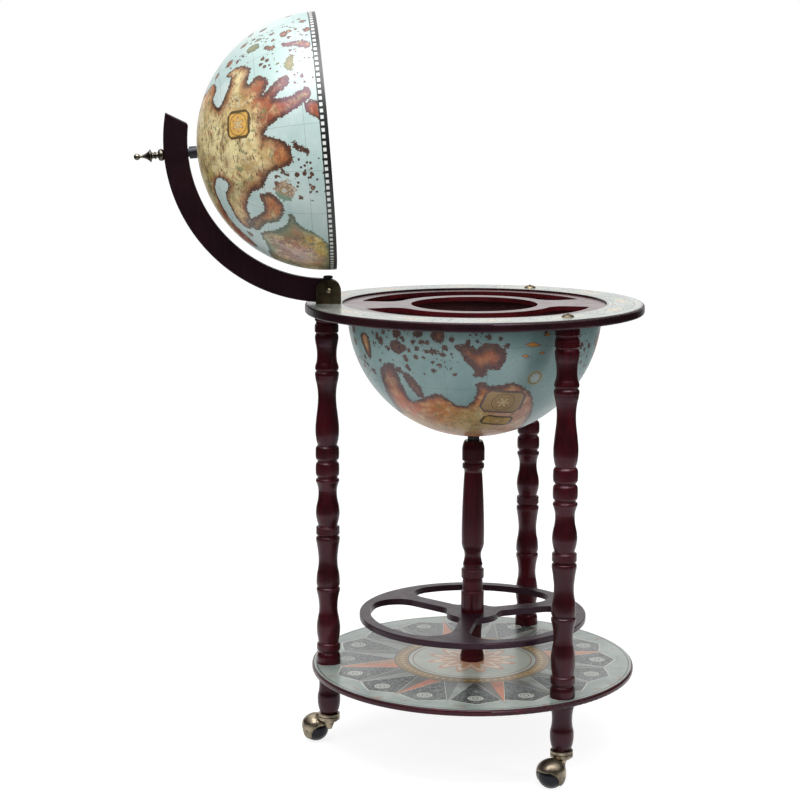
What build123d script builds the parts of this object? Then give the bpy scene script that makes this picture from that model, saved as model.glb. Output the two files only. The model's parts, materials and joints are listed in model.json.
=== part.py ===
"""Globe drinks trolley: a globe whose upper half opens on a wooden meridian bow.

Millimetres, +Z up. The origin is on the floor under the middle of the table ring,
and -X points at the leg that carries the hinge. The lid is drawn fully open.
"""
import os
from math import atan2, cos, degrees, hypot, radians, sin, sqrt

from build123d import *

# Fits
slip = 0.1            # a stud in its drilled hole
running = 0.05        # a pin in the bore that turns on it
gap = 0.3             # between pieces that move past each other

# Lower half globe, which the table ring and its insert are made to fit
bowl_r = 168.9
bowl_wall = 4.0
bowl_centre_drop = 10.0
bowl_spacer_d = 15.9
bowl_spacer_length = 8.0

# Table ring, its paper, and the perforated insert
floor_to_table = 608.0
ring_band = 56.1           # from the bowl's outside to the ring's edge
ring_r = bowl_r + ring_band
ring_thick = 12.0
ring_edge = 2.5
print_thick = 0.4
print_margin = 2.5
insert_seat = 6.6          # width of the rabbet that carries the insert
insert_r = bowl_r + insert_seat
insert_drop = 2.5
insert_thick = 6.0
bucket_hole_r = 84.0
slot_web = 19.0            # from the round hole to a slot
slot_rim = 22.0            # from a slot to the insert's edge
slot_inner_r = bucket_hole_r + slot_web
slot_outer_r = insert_r - slot_rim
slot_half_bridge = 16.5    # degrees from the hinge line to a slot's end
slot_outer_corner = 4.0
slot_inner_corner = 26.0

# Legs, feet and what joins them
leg_inset = 28.5
leg_circle_r = ring_r - leg_inset
leg_top_d = 31.6
leg_end_d = 32.4
leg_angles = {"hinge": 180.0, "front": -60.0, "rear": 60.0}
foot_length = 65.5
foot_top_d = 30.0
stud_d = 8.0
stud_depth = 26.0
cap_bolt_d = 6.0
cap_bolt_depth = 34.0
cap_d = 16.5
cap_high = 3.4
cap_mid_d = 14.0
knob_d = 3.4
knob_high = 1.0
knob_round = 0.6

# Shelf, rack and the post between them
shelf_margin = 22.5
shelf_r = leg_circle_r + shelf_margin
shelf_thick = 8.5
shelf_edge = 2.5
shelf_top = 116.0
rack_r = 154.0
rack_thick = 8.5
rack_edge = 1.5
rack_above_shelf = 68.0
rack_rim = 14.5
rack_hub_r = 35.0
rack_arm = 21.0
rack_turn = 15.5           # degrees from +X to the first arm
rack_outer_corner = 34.0
rack_inner_corner = 14.0
rod_d = 8.0
rod_end = 9.0
nut_d = 15.0
nut_high = 7.0
washer_d = 22.0
washer_thick = 1.5

# Casters
ball_d = 35.0
caster_trail = 24.0
caster_turn = {"hinge": 138.0, "front": -132.0, "rear": 115.0}
collar_ring = 4.8          # height of each of the collar's two rings
collar_low = 2.4
collar_high = 2 * collar_ring + collar_low
collar_lip = 3.0
collar_d = 29.4
collar_round = 0.6
collar_groove_d = 26.8
collar_low_d = 22.0
collar_cup_d = 22.4
sleeve_d = 11.0
sleeve_length = 28.0
stem_d = 7.0
hood_wall = 1.3
ball_clear = 0.6
hood_crown = 22.5          # heights over the ball's centre
hood_crown_side = 21.9
hood_crown_r = 4.5
hood_shoulder = 13.8
hood_shoulder_r = 17.4
hood_shoulder_mid = (18.9, 12.2)
hood_straight = 9.5
hood_rim = 8.0
lug_flare = 16.0           # half width of the axle's lug at the rim
lug_mid = (10.6, 2.8)
lug_low = (7.6, -2.4)
lug_r = 7.0
lug_drop = 4.4             # from the axle down to the centre of the lug's round end
boss_d = 16.0
boss_low_d = 8.0
boss_high = 10.7
axle_d = 4.0
axle_inset = 0.4
ball_flat = 1.0

# Hinge bracket
hinge_inset = 2.5
hinge_reach = leg_circle_r - hinge_inset
hinge_high = 17.5
hinge_pin_d = 6.0
rivet_d = 7.0
rivet_high = 1.8
rivet_round = 0.8
bracket_wide = 33.0
bracket_high = 32.0
bracket_plate = 1.5
bracket_shoulder = 14.5
bracket_side_gap = 0.5
bracket_screw_d = 5.0
bracket_screw_head_d = 10.0
bracket_screw_length = 38.0

# Meridian bow
bow_wide = 31.0
bow_thick = 15.0
bow_edge = 1.2
bow_tip_outer = 75.2       # degrees from the closed lid's rim line
bow_tip_inner = 78.0
bow_tip_round = 6.0
button_d = 12.7
button_high = 3.4
button_round = 1.2
button_face_d = 8.7
button_peg_d = 4.0
button_peg = 8.0

# Upper half globe, hung at its pole
lid_inset = 1.9            # the lid's outside inside the bowl's
lid_r = bowl_r - lid_inset
lid_wall = 3.5
lid_over_ring = 5.0
lid_open = 94.5            # degrees from closed to fully open
axle_stud_d = 6.0
lid_spacer_d = 16.0
lid_spacer_neck_d = 11.0
lid_spacer_neck = 1.8
finial_socket = 12.0
finial_tip_d = 3.0
finial_foot = 7.5
bush_sleeve_d = 12.0
bush_flange_d = 26.0
bush_flange = 2.5
lid_nut_d = 11.0
lid_nut_high = 6.0
lid_washer_d = 18.0
lid_washer_thick = 1.2


def turned(plane, start_d, steps, bores=()):
    """Turn a piece from the plane's origin down its Y axis.

    A step is its length, its diameter half way (None for a straight one) and its end
    diameter. A bore is its two depths and its diameter.
    """
    axis = Axis(plane.origin, plane.y_dir)
    with BuildPart() as piece:
        with BuildSketch(plane):
            with BuildLine():
                radius, depth = start_d / 2, 0.0
                Line((0, 0), (radius, 0))
                for length, middle_d, end_d in steps:
                    end = (end_d / 2, depth - length)
                    if middle_d is None:
                        Line((radius, depth), end)
                    else:
                        ThreePointArc((radius, depth), (middle_d / 2, depth - length / 2), end)
                    radius, depth = end
                Line((radius, depth), (0, depth))
                Line((0, depth), (0, 0))
            make_face()
        revolve(axis=axis)
        for upper, lower, bore_d in bores:
            with BuildSketch(plane):
                with Locations((bore_d / 4, -(upper + lower) / 2)):
                    Rectangle(bore_d / 2, lower - upper)
            revolve(axis=axis, mode=Mode.SUBTRACT)
    return piece


def upright(x, y, top):
    """The plane of a piece that is turned about a vertical axis."""
    return Plane((x, y, top), x_dir=(1, 0, 0), z_dir=(0, -1, 0))


def keep(piece, name):
    """Label a finished piece and write its file."""
    piece.part.label = name
    export_step(piece.part, f"parts/{name}.step")


os.makedirs("parts", exist_ok=True)
leg_places = {
    name: (leg_circle_r * cos(radians(angle)), leg_circle_r * sin(radians(angle)))
    for name, angle in leg_angles.items()
}
ring_under = floor_to_table - ring_thick
shelf_under = shelf_top - shelf_thick
rack_top = shelf_top + rack_above_shelf
rack_under = rack_top - rack_thick
insert_top = floor_to_table - insert_drop
insert_under = insert_top - insert_thick
bowl_centre = floor_to_table - bowl_centre_drop
bowl_bottom = bowl_centre - bowl_r
column_top = bowl_bottom - bowl_spacer_length

# ---- Table ring: a turned wooden ring with a rabbet for the insert ----
with BuildPart() as table_ring:
    with BuildSketch(Plane.XY.offset(ring_under)):
        Circle(ring_r)
    extrude(amount=ring_thick - print_thick)
    fillet(table_ring.edges(), ring_edge)
    with BuildSketch(Plane.XY.offset(ring_under)):
        Circle(bowl_r + gap)
    extrude(amount=ring_thick, mode=Mode.SUBTRACT)
    with BuildSketch(Plane.XY.offset(insert_under)):
        Circle(insert_r + gap)
    extrude(amount=ring_thick, mode=Mode.SUBTRACT)
    with BuildSketch(Plane.XY.offset(ring_under)):
        with Locations(leg_places["front"], leg_places["rear"]):
            Circle(cap_bolt_d / 2 + slip)
        with Locations(leg_places["hinge"]):
            Circle(bracket_screw_d / 2 + slip)
    extrude(amount=ring_thick, mode=Mode.SUBTRACT)
keep(table_ring, "table_ring")

with BuildPart() as ring_print:
    with BuildSketch(Plane.XY.offset(floor_to_table - print_thick)):
        Circle(ring_r - print_margin)
        Circle(insert_r + gap, mode=Mode.SUBTRACT)
        with Locations(leg_places["front"], leg_places["rear"]):
            Circle(cap_bolt_d / 2 + slip, mode=Mode.SUBTRACT)
        with Locations(leg_places["hinge"]):
            Circle(bracket_screw_head_d / 2 + slip, mode=Mode.SUBTRACT)
    extrude(amount=print_thick)
keep(ring_print, "ring_print")

# ---- Insert: a round hole in the middle and a curved slot on each side ----
with BuildPart() as bowl_insert:
    with BuildSketch(Plane.XY.offset(insert_under)):
        Circle(insert_r)
        Circle(bucket_hole_r, mode=Mode.SUBTRACT)
    extrude(amount=insert_thick)
    for side in (90, 270):
        with BuildSketch(Plane.XY.offset(insert_under)) as slot:
            with BuildLine():
                first = side - 90 + slot_half_bridge
                sweep_angle = 180 - 2 * slot_half_bridge
                outer = CenterArc((0, 0), slot_outer_r, first, sweep_angle)
                inner = CenterArc((0, 0), slot_inner_r, first, sweep_angle)
                Line(outer @ 0, inner @ 0)
                Line(outer @ 1, inner @ 1)
            make_face()
            near_rim = slot.vertices().filter_by(lambda v: hypot(v.X, v.Y) > slot_outer_r - gap)
            fillet(near_rim, slot_outer_corner)
            near_hole = slot.vertices().filter_by(lambda v: hypot(v.X, v.Y) < slot_inner_r + gap)
            fillet(near_hole, slot_inner_corner)
        extrude(amount=insert_thick, mode=Mode.SUBTRACT)
keep(bowl_insert, "bowl_insert")

# ---- Lower half globe: a moulded bowl whose lip stands in the ring ----
with BuildPart() as bowl_shell:
    with BuildSketch(upright(0, 0, bowl_centre)):
        with BuildLine():
            bowl_inner_r = bowl_r - bowl_wall
            lip = insert_under - bowl_centre
            outside = CenterArc((0, 0), bowl_r, -90, 90)
            inside = CenterArc((0, 0), bowl_inner_r, -90, 90)
            Polyline(outside @ 1, (bowl_r, lip), (bowl_inner_r, lip), inside @ 1)
            Line(outside @ 0, inside @ 0)
        make_face()
    revolve(axis=Axis.Z)
    with Locations((0, 0, bowl_bottom)):
        Cylinder(rod_d / 2 + slip, 4 * bowl_wall, mode=Mode.SUBTRACT)
keep(bowl_shell, "bowl_shell")

rod_bore = rod_d + 2 * slip
spacer_steps = [(bowl_spacer_length, None, bowl_spacer_d)]
bowl_spacer = turned(upright(0, 0, bowl_bottom), bowl_spacer_d, spacer_steps,
                     [(0, bowl_spacer_length, rod_bore)])
keep(bowl_spacer, "bowl_spacer")

# ---- Turned post under the bowl, rack, and the short post on the shelf ----
column_top_d = 24.5
column_end_d = 31.0
column_steps = [
    (14, 29.4, 30.5), (12, None, 30.5), (1.2, 30.0, 28.6),                        # rounded head
    (3.4, 25.0, 26.0), (1.4, 28.6, 29.5), (4.6, None, 29.5), (1.4, 28.8, 27.0),   # groove and ring
    (5, 24.8, 24.0), (31, 26.2, 27.7), (30, 29.0, 29.9), (38, 30.6, 30.4),        # long shaft
    (7, 29.2, 26.8), (12, 23.0, 22.7), (9, 24.2, 26.6), (3.4, 26.6, 25.4),        # neck and flare
    (3, None, 25.6), (1.6, 29.6, 30.7), (10.6, None, 30.7), (1.6, 29.8, 27.4),    # drum
    (3.6, 26.6, 27.4), (12.4, None, 27.6), (1.6, 26.8, 28.4), (1.4, 30.6, column_end_d),
]
turned_length = sum(length for length, middle_d, end_d in column_steps)
column_length = column_top - rack_top
column_steps.append((column_length - turned_length, None, column_end_d))
column = turned(upright(0, 0, column_top), column_top_d, column_steps, [(0, column_length, rod_bore)])
keep(column, "column")

with BuildPart() as bottle_rack:
    with BuildSketch(Plane.XY.offset(rack_under)):
        Circle(rack_r)
        Circle(rod_bore / 2, mode=Mode.SUBTRACT)
    extrude(amount=rack_thick)
    fillet(bottle_rack.edges().group_by(SortBy.LENGTH)[-1], rack_edge)
    with BuildSketch(Plane.XY.offset(rack_under)) as windows:
        Circle(rack_r - rack_rim)
        Circle(rack_hub_r, mode=Mode.SUBTRACT)
        with PolarLocations(rack_r / 2, 3, start_angle=rack_turn):
            Rectangle(rack_r, rack_arm, mode=Mode.SUBTRACT)
        near_hub = windows.vertices().filter_by(lambda v: hypot(v.X, v.Y) < rack_r / 2)
        fillet(near_hub, rack_inner_corner)
        near_rim = windows.vertices().filter_by(lambda v: hypot(v.X, v.Y) > rack_r - rack_rim - gap)
        fillet(near_rim, rack_outer_corner)
    extrude(amount=rack_thick, mode=Mode.SUBTRACT)
keep(bottle_rack, "bottle_rack")

base_length = rack_under - shelf_top
base_top_d = 27.0
base_end_d = 32.5
base_rings = [
    (8, 28.6, 27.0), (2, 26.0, 26.6), (31, 24.6, 26.4), (4.5, 27.9, 28.4), (5, 30.2, 31.2),
    (5, 32.4, base_end_d),
]
base_rings.append((base_length - sum(length for length, middle_d, end_d in base_rings), None, base_end_d))
column_base = turned(upright(0, 0, rack_under), base_top_d, base_rings, [(0, base_length, rod_bore)])
keep(column_base, "column_base")

# ---- Tie rod through bowl, post, rack and shelf, with a nut and washer at each end ----
bowl_seat = bowl_centre - sqrt((bowl_r - bowl_wall) ** 2 - (washer_d / 2) ** 2)
rod_top = bowl_seat + washer_thick + rod_end
rod_length = rod_top - (shelf_under - washer_thick - rod_end)
tie_rod = turned(upright(0, 0, rod_top), rod_d, [(rod_length, None, rod_d)])
keep(tie_rod, "tie_rod")


def washer(top):
    """A flat washer on the tie rod."""
    return turned(upright(0, 0, top), washer_d, [(washer_thick, None, washer_d)],
                  [(0, washer_thick, rod_bore)])


def nut(bottom):
    """A hexagon nut on the tie rod."""
    with BuildPart() as piece:
        with BuildSketch(Plane.XY.offset(bottom)):
            RegularPolygon(nut_d / 2, 6)
            Circle(rod_d / 2, mode=Mode.SUBTRACT)
        extrude(amount=nut_high)
    return piece


keep(washer(bowl_seat + washer_thick), "bowl_washer")
keep(nut(bowl_seat + washer_thick), "bowl_nut")
keep(washer(shelf_under), "shelf_washer")
keep(nut(shelf_under - washer_thick - nut_high), "shelf_nut")

# ---- Shelf and its paper ----
stud_hole = stud_d / 2 + slip
with BuildPart() as shelf:
    with BuildSketch(Plane.XY.offset(shelf_under)):
        Circle(shelf_r)
    extrude(amount=shelf_thick - print_thick)
    fillet(shelf.edges(), shelf_edge)
    with BuildSketch(Plane.XY.offset(shelf_under)):
        Circle(rod_bore / 2)
        with Locations(*leg_places.values()):
            Circle(stud_hole)
    extrude(amount=shelf_thick, mode=Mode.SUBTRACT)
keep(shelf, "shelf")

with BuildPart() as shelf_print:
    with BuildSketch(Plane.XY.offset(shelf_top - print_thick)):
        Circle(shelf_r - print_margin)
        Circle(rod_bore / 2, mode=Mode.SUBTRACT)
        with Locations(*leg_places.values()):
            Circle(stud_hole, mode=Mode.SUBTRACT)
    extrude(amount=print_thick)
keep(shelf_print, "shelf_print")

# ---- Legs and feet, turned with beads, coves and long vases ----
leg_turning = [
    (10, None, 31.6), (1.2, 31.2, 29.4), (4.3, 28.6, 29.6),                       # block and groove
    (1.3, 31.0, 31.8), (8.6, None, 31.8), (1.3, 31.0, 29.4), (1.7, 28.6, 29.2),   # ring
    (5.5, 31.2, 31.7), (11, 30.4, 28.2), (22, 26.2, 28.0), (5.6, 30.2, 31.6),     # short vase
    (3.9, 31.8, 31.0), (1, None, 29.0), (1.4, 28.6, 29.2), (1.6, 30.8, 31.8),
    (5, 32.3, 31.6), (9.3, 30.2, 28.0), (19, 25.2, 24.4), (18, 25.2, 27.2),       # long vase
    (16, 29.2, 30.9), (11.3, 31.8, 31.9), (9.6, 31.6, 30.4), (8.8, 29.0, 26.4),
    (1.8, 26.0, 27.0), (4, 30.4, 31.6), (12, 32.0, 31.6), (4, 30.4, 27.0),        # two beads
    (2, 26.2, 27.0), (4, 30.4, 31.6), (12.3, 32.0, 31.6), (4, 30.4, 27.0),
    (2, 26.4, 28.0), (2.8, 31.0, 31.8), (3.2, 31.4, 30.2), (11, 26.6, 25.0),      # half bead
    (10, 25.0, 26.0), (8, 27.3, 29.2), (9, 31.0, 31.8), (9, 32.2, 31.2),          # bulb
    (7, 30.1, 28.4), (4.4, None, 26.0), (1.3, 25.8, 27.4), (1.6, 30.6, 31.8),
    (9, None, 31.8), (1.6, 30.6, 28.0), (1.8, 26.6, 28.0), (1.6, 30.8, 31.8),     # ring
    (5, 32.2, 31.8), (14, 29.3, 27.6), (25, 25.6, 27.8), (15, 30.6, 31.7),        # middle vase
    (7.5, 31.9, 31.0), (1, None, 29.0), (1.6, 28.4, 29.4), (1.5, 30.8, 31.7),
    (5.2, 31.9, 30.8), (13, 27.8, 26.0), (16, 25.0, 26.0), (12, 28.4, 30.4),      # low vase
    (11, 31.7, 31.7), (9.4, 31.3, 30.2), (8, 28.8, 27.8), (1.6, 27.4, 28.6),
    (1.8, 30.8, 31.6), (7.6, 31.9, 31.6), (1.8, 30.6, 29.0), (3, 28.2, 29.6),     # ring
    (5, 31.4, leg_end_d),
]
leg_length = ring_under - shelf_top
leg_turning.append((leg_length - sum(length for length, middle_d, end_d in leg_turning), None, leg_end_d))
foot_turning = [(5, None, 30.4), (28, 26.2, 28.4), (10.5, 30.7, 30.8), (8, 30.6, 29.4), (9, 27.7, 24.4)]
foot_turning.append((foot_length - sum(length for length, middle_d, end_d in foot_turning), 21.6, 18.0))
foot_bottom = shelf_under - foot_length
collar_top = foot_bottom + collar_lip
collar_bottom = collar_top - collar_high
for name, (x, y) in leg_places.items():
    top_hole = bracket_screw_d if name == "hinge" else cap_bolt_d
    top_depth = cap_bolt_depth if name != "hinge" else bracket_screw_length
    leg = turned(upright(x, y, ring_under), leg_top_d, leg_turning, [
        (0, top_depth + slip, top_hole + 2 * slip),
        (leg_length - stud_depth - slip, leg_length, stud_d + 2 * slip),
    ])
    keep(leg, f"leg_{name}")
    foot = turned(upright(x, y, shelf_under), foot_top_d, foot_turning, [
        (0, stud_depth + slip, stud_d + 2 * slip),
        (foot_length - sleeve_length - slip, foot_length, sleeve_d + 2 * slip),
    ])
    keep(foot, f"foot_{name}")
    stud_length = 2 * stud_depth + shelf_thick
    foot_stud = turned(upright(x, y, shelf_top + stud_depth), stud_d, [(stud_length, None, stud_d)])
    keep(foot_stud, f"foot_stud_{name}")

# ---- Brass cap bolts that hold the ring to the two free legs ----
cap_steps = [
    (knob_high, None, knob_d), (cap_high, cap_mid_d, cap_d), (0, None, cap_bolt_d),
    (ring_thick + cap_bolt_depth, None, cap_bolt_d),
]
for name in ("front", "rear"):
    x, y = leg_places[name]
    cap_top = floor_to_table + cap_high + knob_high
    cap_bolt = turned(upright(x, y, cap_top), knob_d - knob_round, cap_steps)
    keep(cap_bolt, f"cap_bolt_{name}")

# ---- Ball casters: collar in the foot, swivelling hood, axle and ball ----
hood_inner_r = ball_d / 2 + ball_clear
hood_r = hood_inner_r + hood_wall
stem_top = foot_bottom + sleeve_length - gap
hood_top = collar_bottom - gap
for name, (x, y) in leg_places.items():
    trail = radians(caster_turn[name])
    trail_way = (cos(trail), sin(trail), 0)
    axle_way = (-sin(trail), cos(trail), 0)
    ball_centre = Vector(x, y, ball_d / 2) + Vector(*trail_way) * caster_trail

    with BuildPart() as collar:
        ring_steps = [
            (collar_round, None, collar_d), (collar_ring - 2 * collar_round, None, collar_d),
            (collar_round, None, collar_groove_d),
        ]
        add(turned(upright(x, y, collar_top), collar_groove_d, 2 * ring_steps + [
            (collar_low, None, collar_low_d),
        ], [(0, collar_lip, collar_cup_d)]).part)
        with Locations((x, y, foot_bottom + sleeve_length / 2)):
            Cylinder(sleeve_d / 2, sleeve_length)
        with Locations((x, y, (collar_bottom + foot_bottom + sleeve_length) / 2)):
            Cylinder(stem_d / 2 + running, sleeve_length + collar_high, mode=Mode.SUBTRACT)
    keep(collar, f"caster_collar_{name}")

    stem = turned(upright(x, y, stem_top), stem_d, [(stem_top - hood_top, None, stem_d)])
    keep(stem, f"caster_stem_{name}")

    with BuildPart() as hood:
        with BuildSketch(upright(*ball_centre)):
            with BuildLine():
                low = CenterArc((0, 0), hood_r, -90, 90)
                Line(low @ 1, (hood_r, hood_straight))
                ThreePointArc((hood_r, hood_straight), hood_shoulder_mid, (hood_shoulder_r, hood_shoulder))
                Polyline((hood_shoulder_r, hood_shoulder), (hood_crown_r, hood_crown_side),
                         (0, hood_crown), low @ 0)
            make_face()
        revolve(axis=Axis(ball_centre, (0, 0, 1)))
        with BuildSketch(Plane(ball_centre, x_dir=trail_way, z_dir=-Vector(*axle_way))) as outline:
            with BuildLine():
                lug = ThreePointArc((lug_r, -lug_drop), (0, -lug_drop - lug_r), (-lug_r, -lug_drop))
                for side, end in ((1, lug @ 0), (-1, lug @ 1)):
                    Line(end, (side * lug_low[0], lug_low[1]))
                    ThreePointArc((side * lug_low[0], lug_low[1]), (side * lug_mid[0], lug_mid[1]),
                                  (side * lug_flare, hood_rim))
                Polyline((lug_flare, hood_rim), (ball_d, hood_rim), (ball_d, ball_d),
                         (-ball_d, ball_d), (-ball_d, hood_rim), (-lug_flare, hood_rim))
            make_face()
        extrude(amount=ball_d, both=True, mode=Mode.INTERSECT)
        with Locations((x, y, hood_top - boss_high / 2)):
            Cone(boss_low_d / 2, boss_d / 2, boss_high)
        with Locations((x, y, hood_top + ball_d)):
            Cylinder(collar_d / 2 + gap, 2 * ball_d, mode=Mode.SUBTRACT)
        with Locations(ball_centre):
            Sphere(hood_inner_r, mode=Mode.SUBTRACT)
        with BuildSketch(Plane(ball_centre, x_dir=trail_way, z_dir=axle_way)):
            Circle(axle_d / 2)
        extrude(amount=ball_d, both=True, mode=Mode.SUBTRACT)
    keep(hood, f"caster_hood_{name}")

    axle_end = ball_centre + Vector(*axle_way) * (hood_r - axle_inset)
    axle_length = 2 * (hood_r - axle_inset)
    axle_plane = Plane(axle_end, x_dir=trail_way, z_dir=(0, 0, 1))
    axle = turned(axle_plane, axle_d, [(axle_length, None, axle_d)])
    keep(axle, f"caster_axle_{name}")

    flat_d = 2 * sqrt((ball_d / 2) ** 2 - (ball_d / 2 - ball_flat) ** 2)
    ball_end = ball_centre + Vector(*axle_way) * (ball_d / 2 - ball_flat)
    ball_wide = ball_d - 2 * ball_flat
    ball = turned(Plane(ball_end, x_dir=trail_way, z_dir=(0, 0, 1)), flat_d,
                  [(ball_wide, ball_d, flat_d)], [(0, ball_wide, axle_d + 2 * running)])
    keep(ball, f"caster_ball_{name}")

# ---- Hinge bracket: a bent strap with two round-shouldered ears ----
hinge_x = -hinge_reach
hinge_z = floor_to_table + hinge_high
bracket_inside = bow_thick + 2 * bracket_side_gap
bracket_outside = bracket_inside + 2 * bracket_plate
leg_x = leg_places["hinge"][0]
with BuildPart() as hinge_bracket:
    with BuildSketch(Plane((hinge_x, 0, floor_to_table), x_dir=(1, 0, 0), z_dir=(0, -1, 0))) as ear:
        with Locations((0, bracket_high / 2)):
            Rectangle(bracket_wide, bracket_high)
        fillet(ear.vertices().group_by(Axis.Y)[-1], bracket_shoulder)
    extrude(amount=bracket_outside / 2, both=True)
    with Locations((hinge_x, 0, floor_to_table + bracket_plate + bracket_high / 2)):
        Box(bracket_wide, bracket_inside, bracket_high, mode=Mode.SUBTRACT)
    with BuildSketch(Plane((hinge_x, 0, hinge_z), x_dir=(1, 0, 0), z_dir=(0, -1, 0))):
        Circle(hinge_pin_d / 2)
    extrude(amount=bracket_outside / 2, both=True, mode=Mode.SUBTRACT)
    with Locations((leg_x, 0, floor_to_table + bracket_plate)):
        CounterSinkHole(bracket_screw_d / 2 + slip, bracket_screw_head_d / 2, bracket_plate + slip)
keep(hinge_bracket, "hinge_bracket")

pin_length = bracket_outside + 2 * rivet_high
pin_plane = Plane((hinge_x, pin_length / 2, hinge_z), x_dir=(1, 0, 0), z_dir=(0, 0, 1))
hinge_pin = turned(pin_plane, rivet_d / 2, [
    (rivet_high, rivet_d - rivet_round, rivet_d), (0, None, hinge_pin_d),
    (bracket_outside, None, hinge_pin_d), (0, None, rivet_d),
    (rivet_high, rivet_d - rivet_round, rivet_d / 2),
])
keep(hinge_pin, "hinge_pin")

screw_steps = [
    (bracket_plate, None, bracket_screw_d), (ring_thick + bracket_screw_length, None, bracket_screw_d),
]
bracket_screw = turned(upright(leg_x, 0, floor_to_table + bracket_plate), bracket_screw_head_d, screw_steps)
keep(bracket_screw, "bracket_screw")

# ---- The lid's own frame: its origin is the globe's centre, its Y axis the pole ----
opening = radians(lid_open)
closed_x, closed_z = hinge_reach, lid_over_ring - hinge_high
lid_centre = Vector(
    hinge_x + closed_x * cos(opening) - closed_z * sin(opening), 0,
    hinge_z + closed_x * sin(opening) + closed_z * cos(opening),
)
rim_way = Vector(cos(opening), 0, sin(opening))
pole = Vector(-sin(opening), 0, cos(opening))
lid_plane = Plane(lid_centre, x_dir=rim_way, z_dir=(0, -1, 0))


def pole_plane(height):
    """The lid's plane moved out along the pole, for a piece turned on the pole."""
    return Plane(lid_centre + pole * height, x_dir=rim_way, z_dir=(0, -1, 0))


# ---- Meridian bow: one sawn wooden arc from the hinge pin to past the pole ----
bow_middle_r = hypot(closed_x, closed_z)
bow_outer_r = bow_middle_r + bow_wide / 2
bow_inner_r = bow_middle_r - bow_wide / 2
heel_angle = 180 - degrees(atan2(-closed_z, closed_x))
heel_centre = (bow_middle_r * cos(radians(heel_angle)), bow_middle_r * sin(radians(heel_angle)))
heel_way = rim_way * cos(radians(heel_angle)) + pole * sin(radians(heel_angle))
with BuildPart() as meridian_bow:
    with BuildSketch(lid_plane) as bow:
        with BuildLine():
            back = CenterArc((0, 0), bow_outer_r, bow_tip_outer, heel_angle - bow_tip_outer)
            front = CenterArc((0, 0), bow_inner_r, bow_tip_inner, heel_angle - bow_tip_inner)
            CenterArc(heel_centre, bow_wide / 2, heel_angle, 180)
            Line(back @ 0, front @ 0)
        make_face()
        tip_corner = bow.vertices().sort_by(Axis.X)[-2]
        fillet(tip_corner, bow_tip_round)
    extrude(amount=bow_thick / 2, both=True)
    with BuildSketch(Plane((hinge_x, 0, hinge_z), x_dir=(1, 0, 0), z_dir=(0, -1, 0))):
        Circle(hinge_pin_d / 2 + running)
    extrude(amount=bow_thick, both=True, mode=Mode.SUBTRACT)
    with BuildSketch(Plane(lid_centre, x_dir=rim_way, z_dir=pole)):
        Circle(axle_stud_d / 2 + slip)
    extrude(amount=bow_outer_r + bow_wide, mode=Mode.SUBTRACT)
    with BuildSketch(Plane(lid_centre + heel_way * bow_inner_r, x_dir=(0, 1, 0), z_dir=heel_way)):
        Circle(button_peg_d / 2 + slip)
    extrude(amount=button_peg + slip, mode=Mode.SUBTRACT)
    side_edges = meridian_bow.faces().filter_by(Axis.Y).edges()
    chamfer(side_edges.filter_by(lambda edge: edge.length > bow_wide), bow_edge)
keep(meridian_bow, "meridian_bow")

button_seat = sqrt(bow_inner_r ** 2 - (button_d / 2) ** 2) - slip
button_plane = Plane(
    lid_centre + heel_way * (button_seat - button_high), x_dir=(0, 1, 0),
    z_dir=heel_way.cross(Vector(0, 1, 0)),
)
bow_button = turned(button_plane, button_face_d, [
    (button_round, button_d - button_round, button_d), (button_high - button_round, None, button_d),
    (0, None, button_peg_d), (button_peg, None, button_peg_d),
])
keep(bow_button, "bow_button")

# ---- Axle stud on the pole: finial outside, spacer, then washer and nut inside the lid ----
lid_inner_r = lid_r - lid_wall
bush_seat = sqrt(lid_inner_r ** 2 - (bush_flange_d / 2) ** 2)
washer_top = bush_seat - bush_flange - gap
nut_top = washer_top - lid_washer_thick
axle_bore = axle_stud_d + 2 * slip
stud_top = bow_outer_r + finial_socket - gap
axle_stud = turned(pole_plane(stud_top), axle_stud_d,
                   [(stud_top - nut_top + lid_nut_high + 1, None, axle_stud_d)])
keep(axle_stud, "axle_stud")

finial_turning = [
    (8, 8.6, 3.8), (12.5, 6.2, 14.8), (1.8, 16.8, 15.6), (1.5, None, 8.0), (2.2, None, 7.2),
    (3, 9.6, 7.2), (2.5, None, 7.2), (0, None, 11.0), (finial_foot, 15.8, 12.0),
]
finial_length = sum(length for length, middle_d, end_d in finial_turning)
finial = turned(pole_plane(bow_outer_r + finial_length), finial_tip_d, finial_turning,
                [(finial_length - finial_socket, finial_length, axle_bore)])
keep(finial, "finial")

spacer_top = sqrt(bow_inner_r ** 2 - (lid_spacer_d / 2) ** 2)
spacer_length = spacer_top - lid_r - gap
lid_spacer = turned(pole_plane(spacer_top), lid_spacer_neck_d, [
    (lid_spacer_neck, None, lid_spacer_neck_d), (0, None, lid_spacer_d),
    (spacer_length - lid_spacer_neck, None, lid_spacer_d),
], [(0, spacer_length, axle_bore)])
keep(lid_spacer, "lid_spacer")

lid_washer = turned(pole_plane(washer_top), lid_washer_d, [(lid_washer_thick, None, lid_washer_d)],
                    [(0, lid_washer_thick, axle_bore)])
keep(lid_washer, "lid_washer")

with BuildPart() as lid_nut:
    with BuildSketch(Plane(lid_centre + pole * (nut_top - lid_nut_high), x_dir=rim_way, z_dir=pole)):
        RegularPolygon(lid_nut_d / 2, 6)
        Circle(axle_stud_d / 2, mode=Mode.SUBTRACT)
    extrude(amount=lid_nut_high)
keep(lid_nut, "lid_nut")

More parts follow.
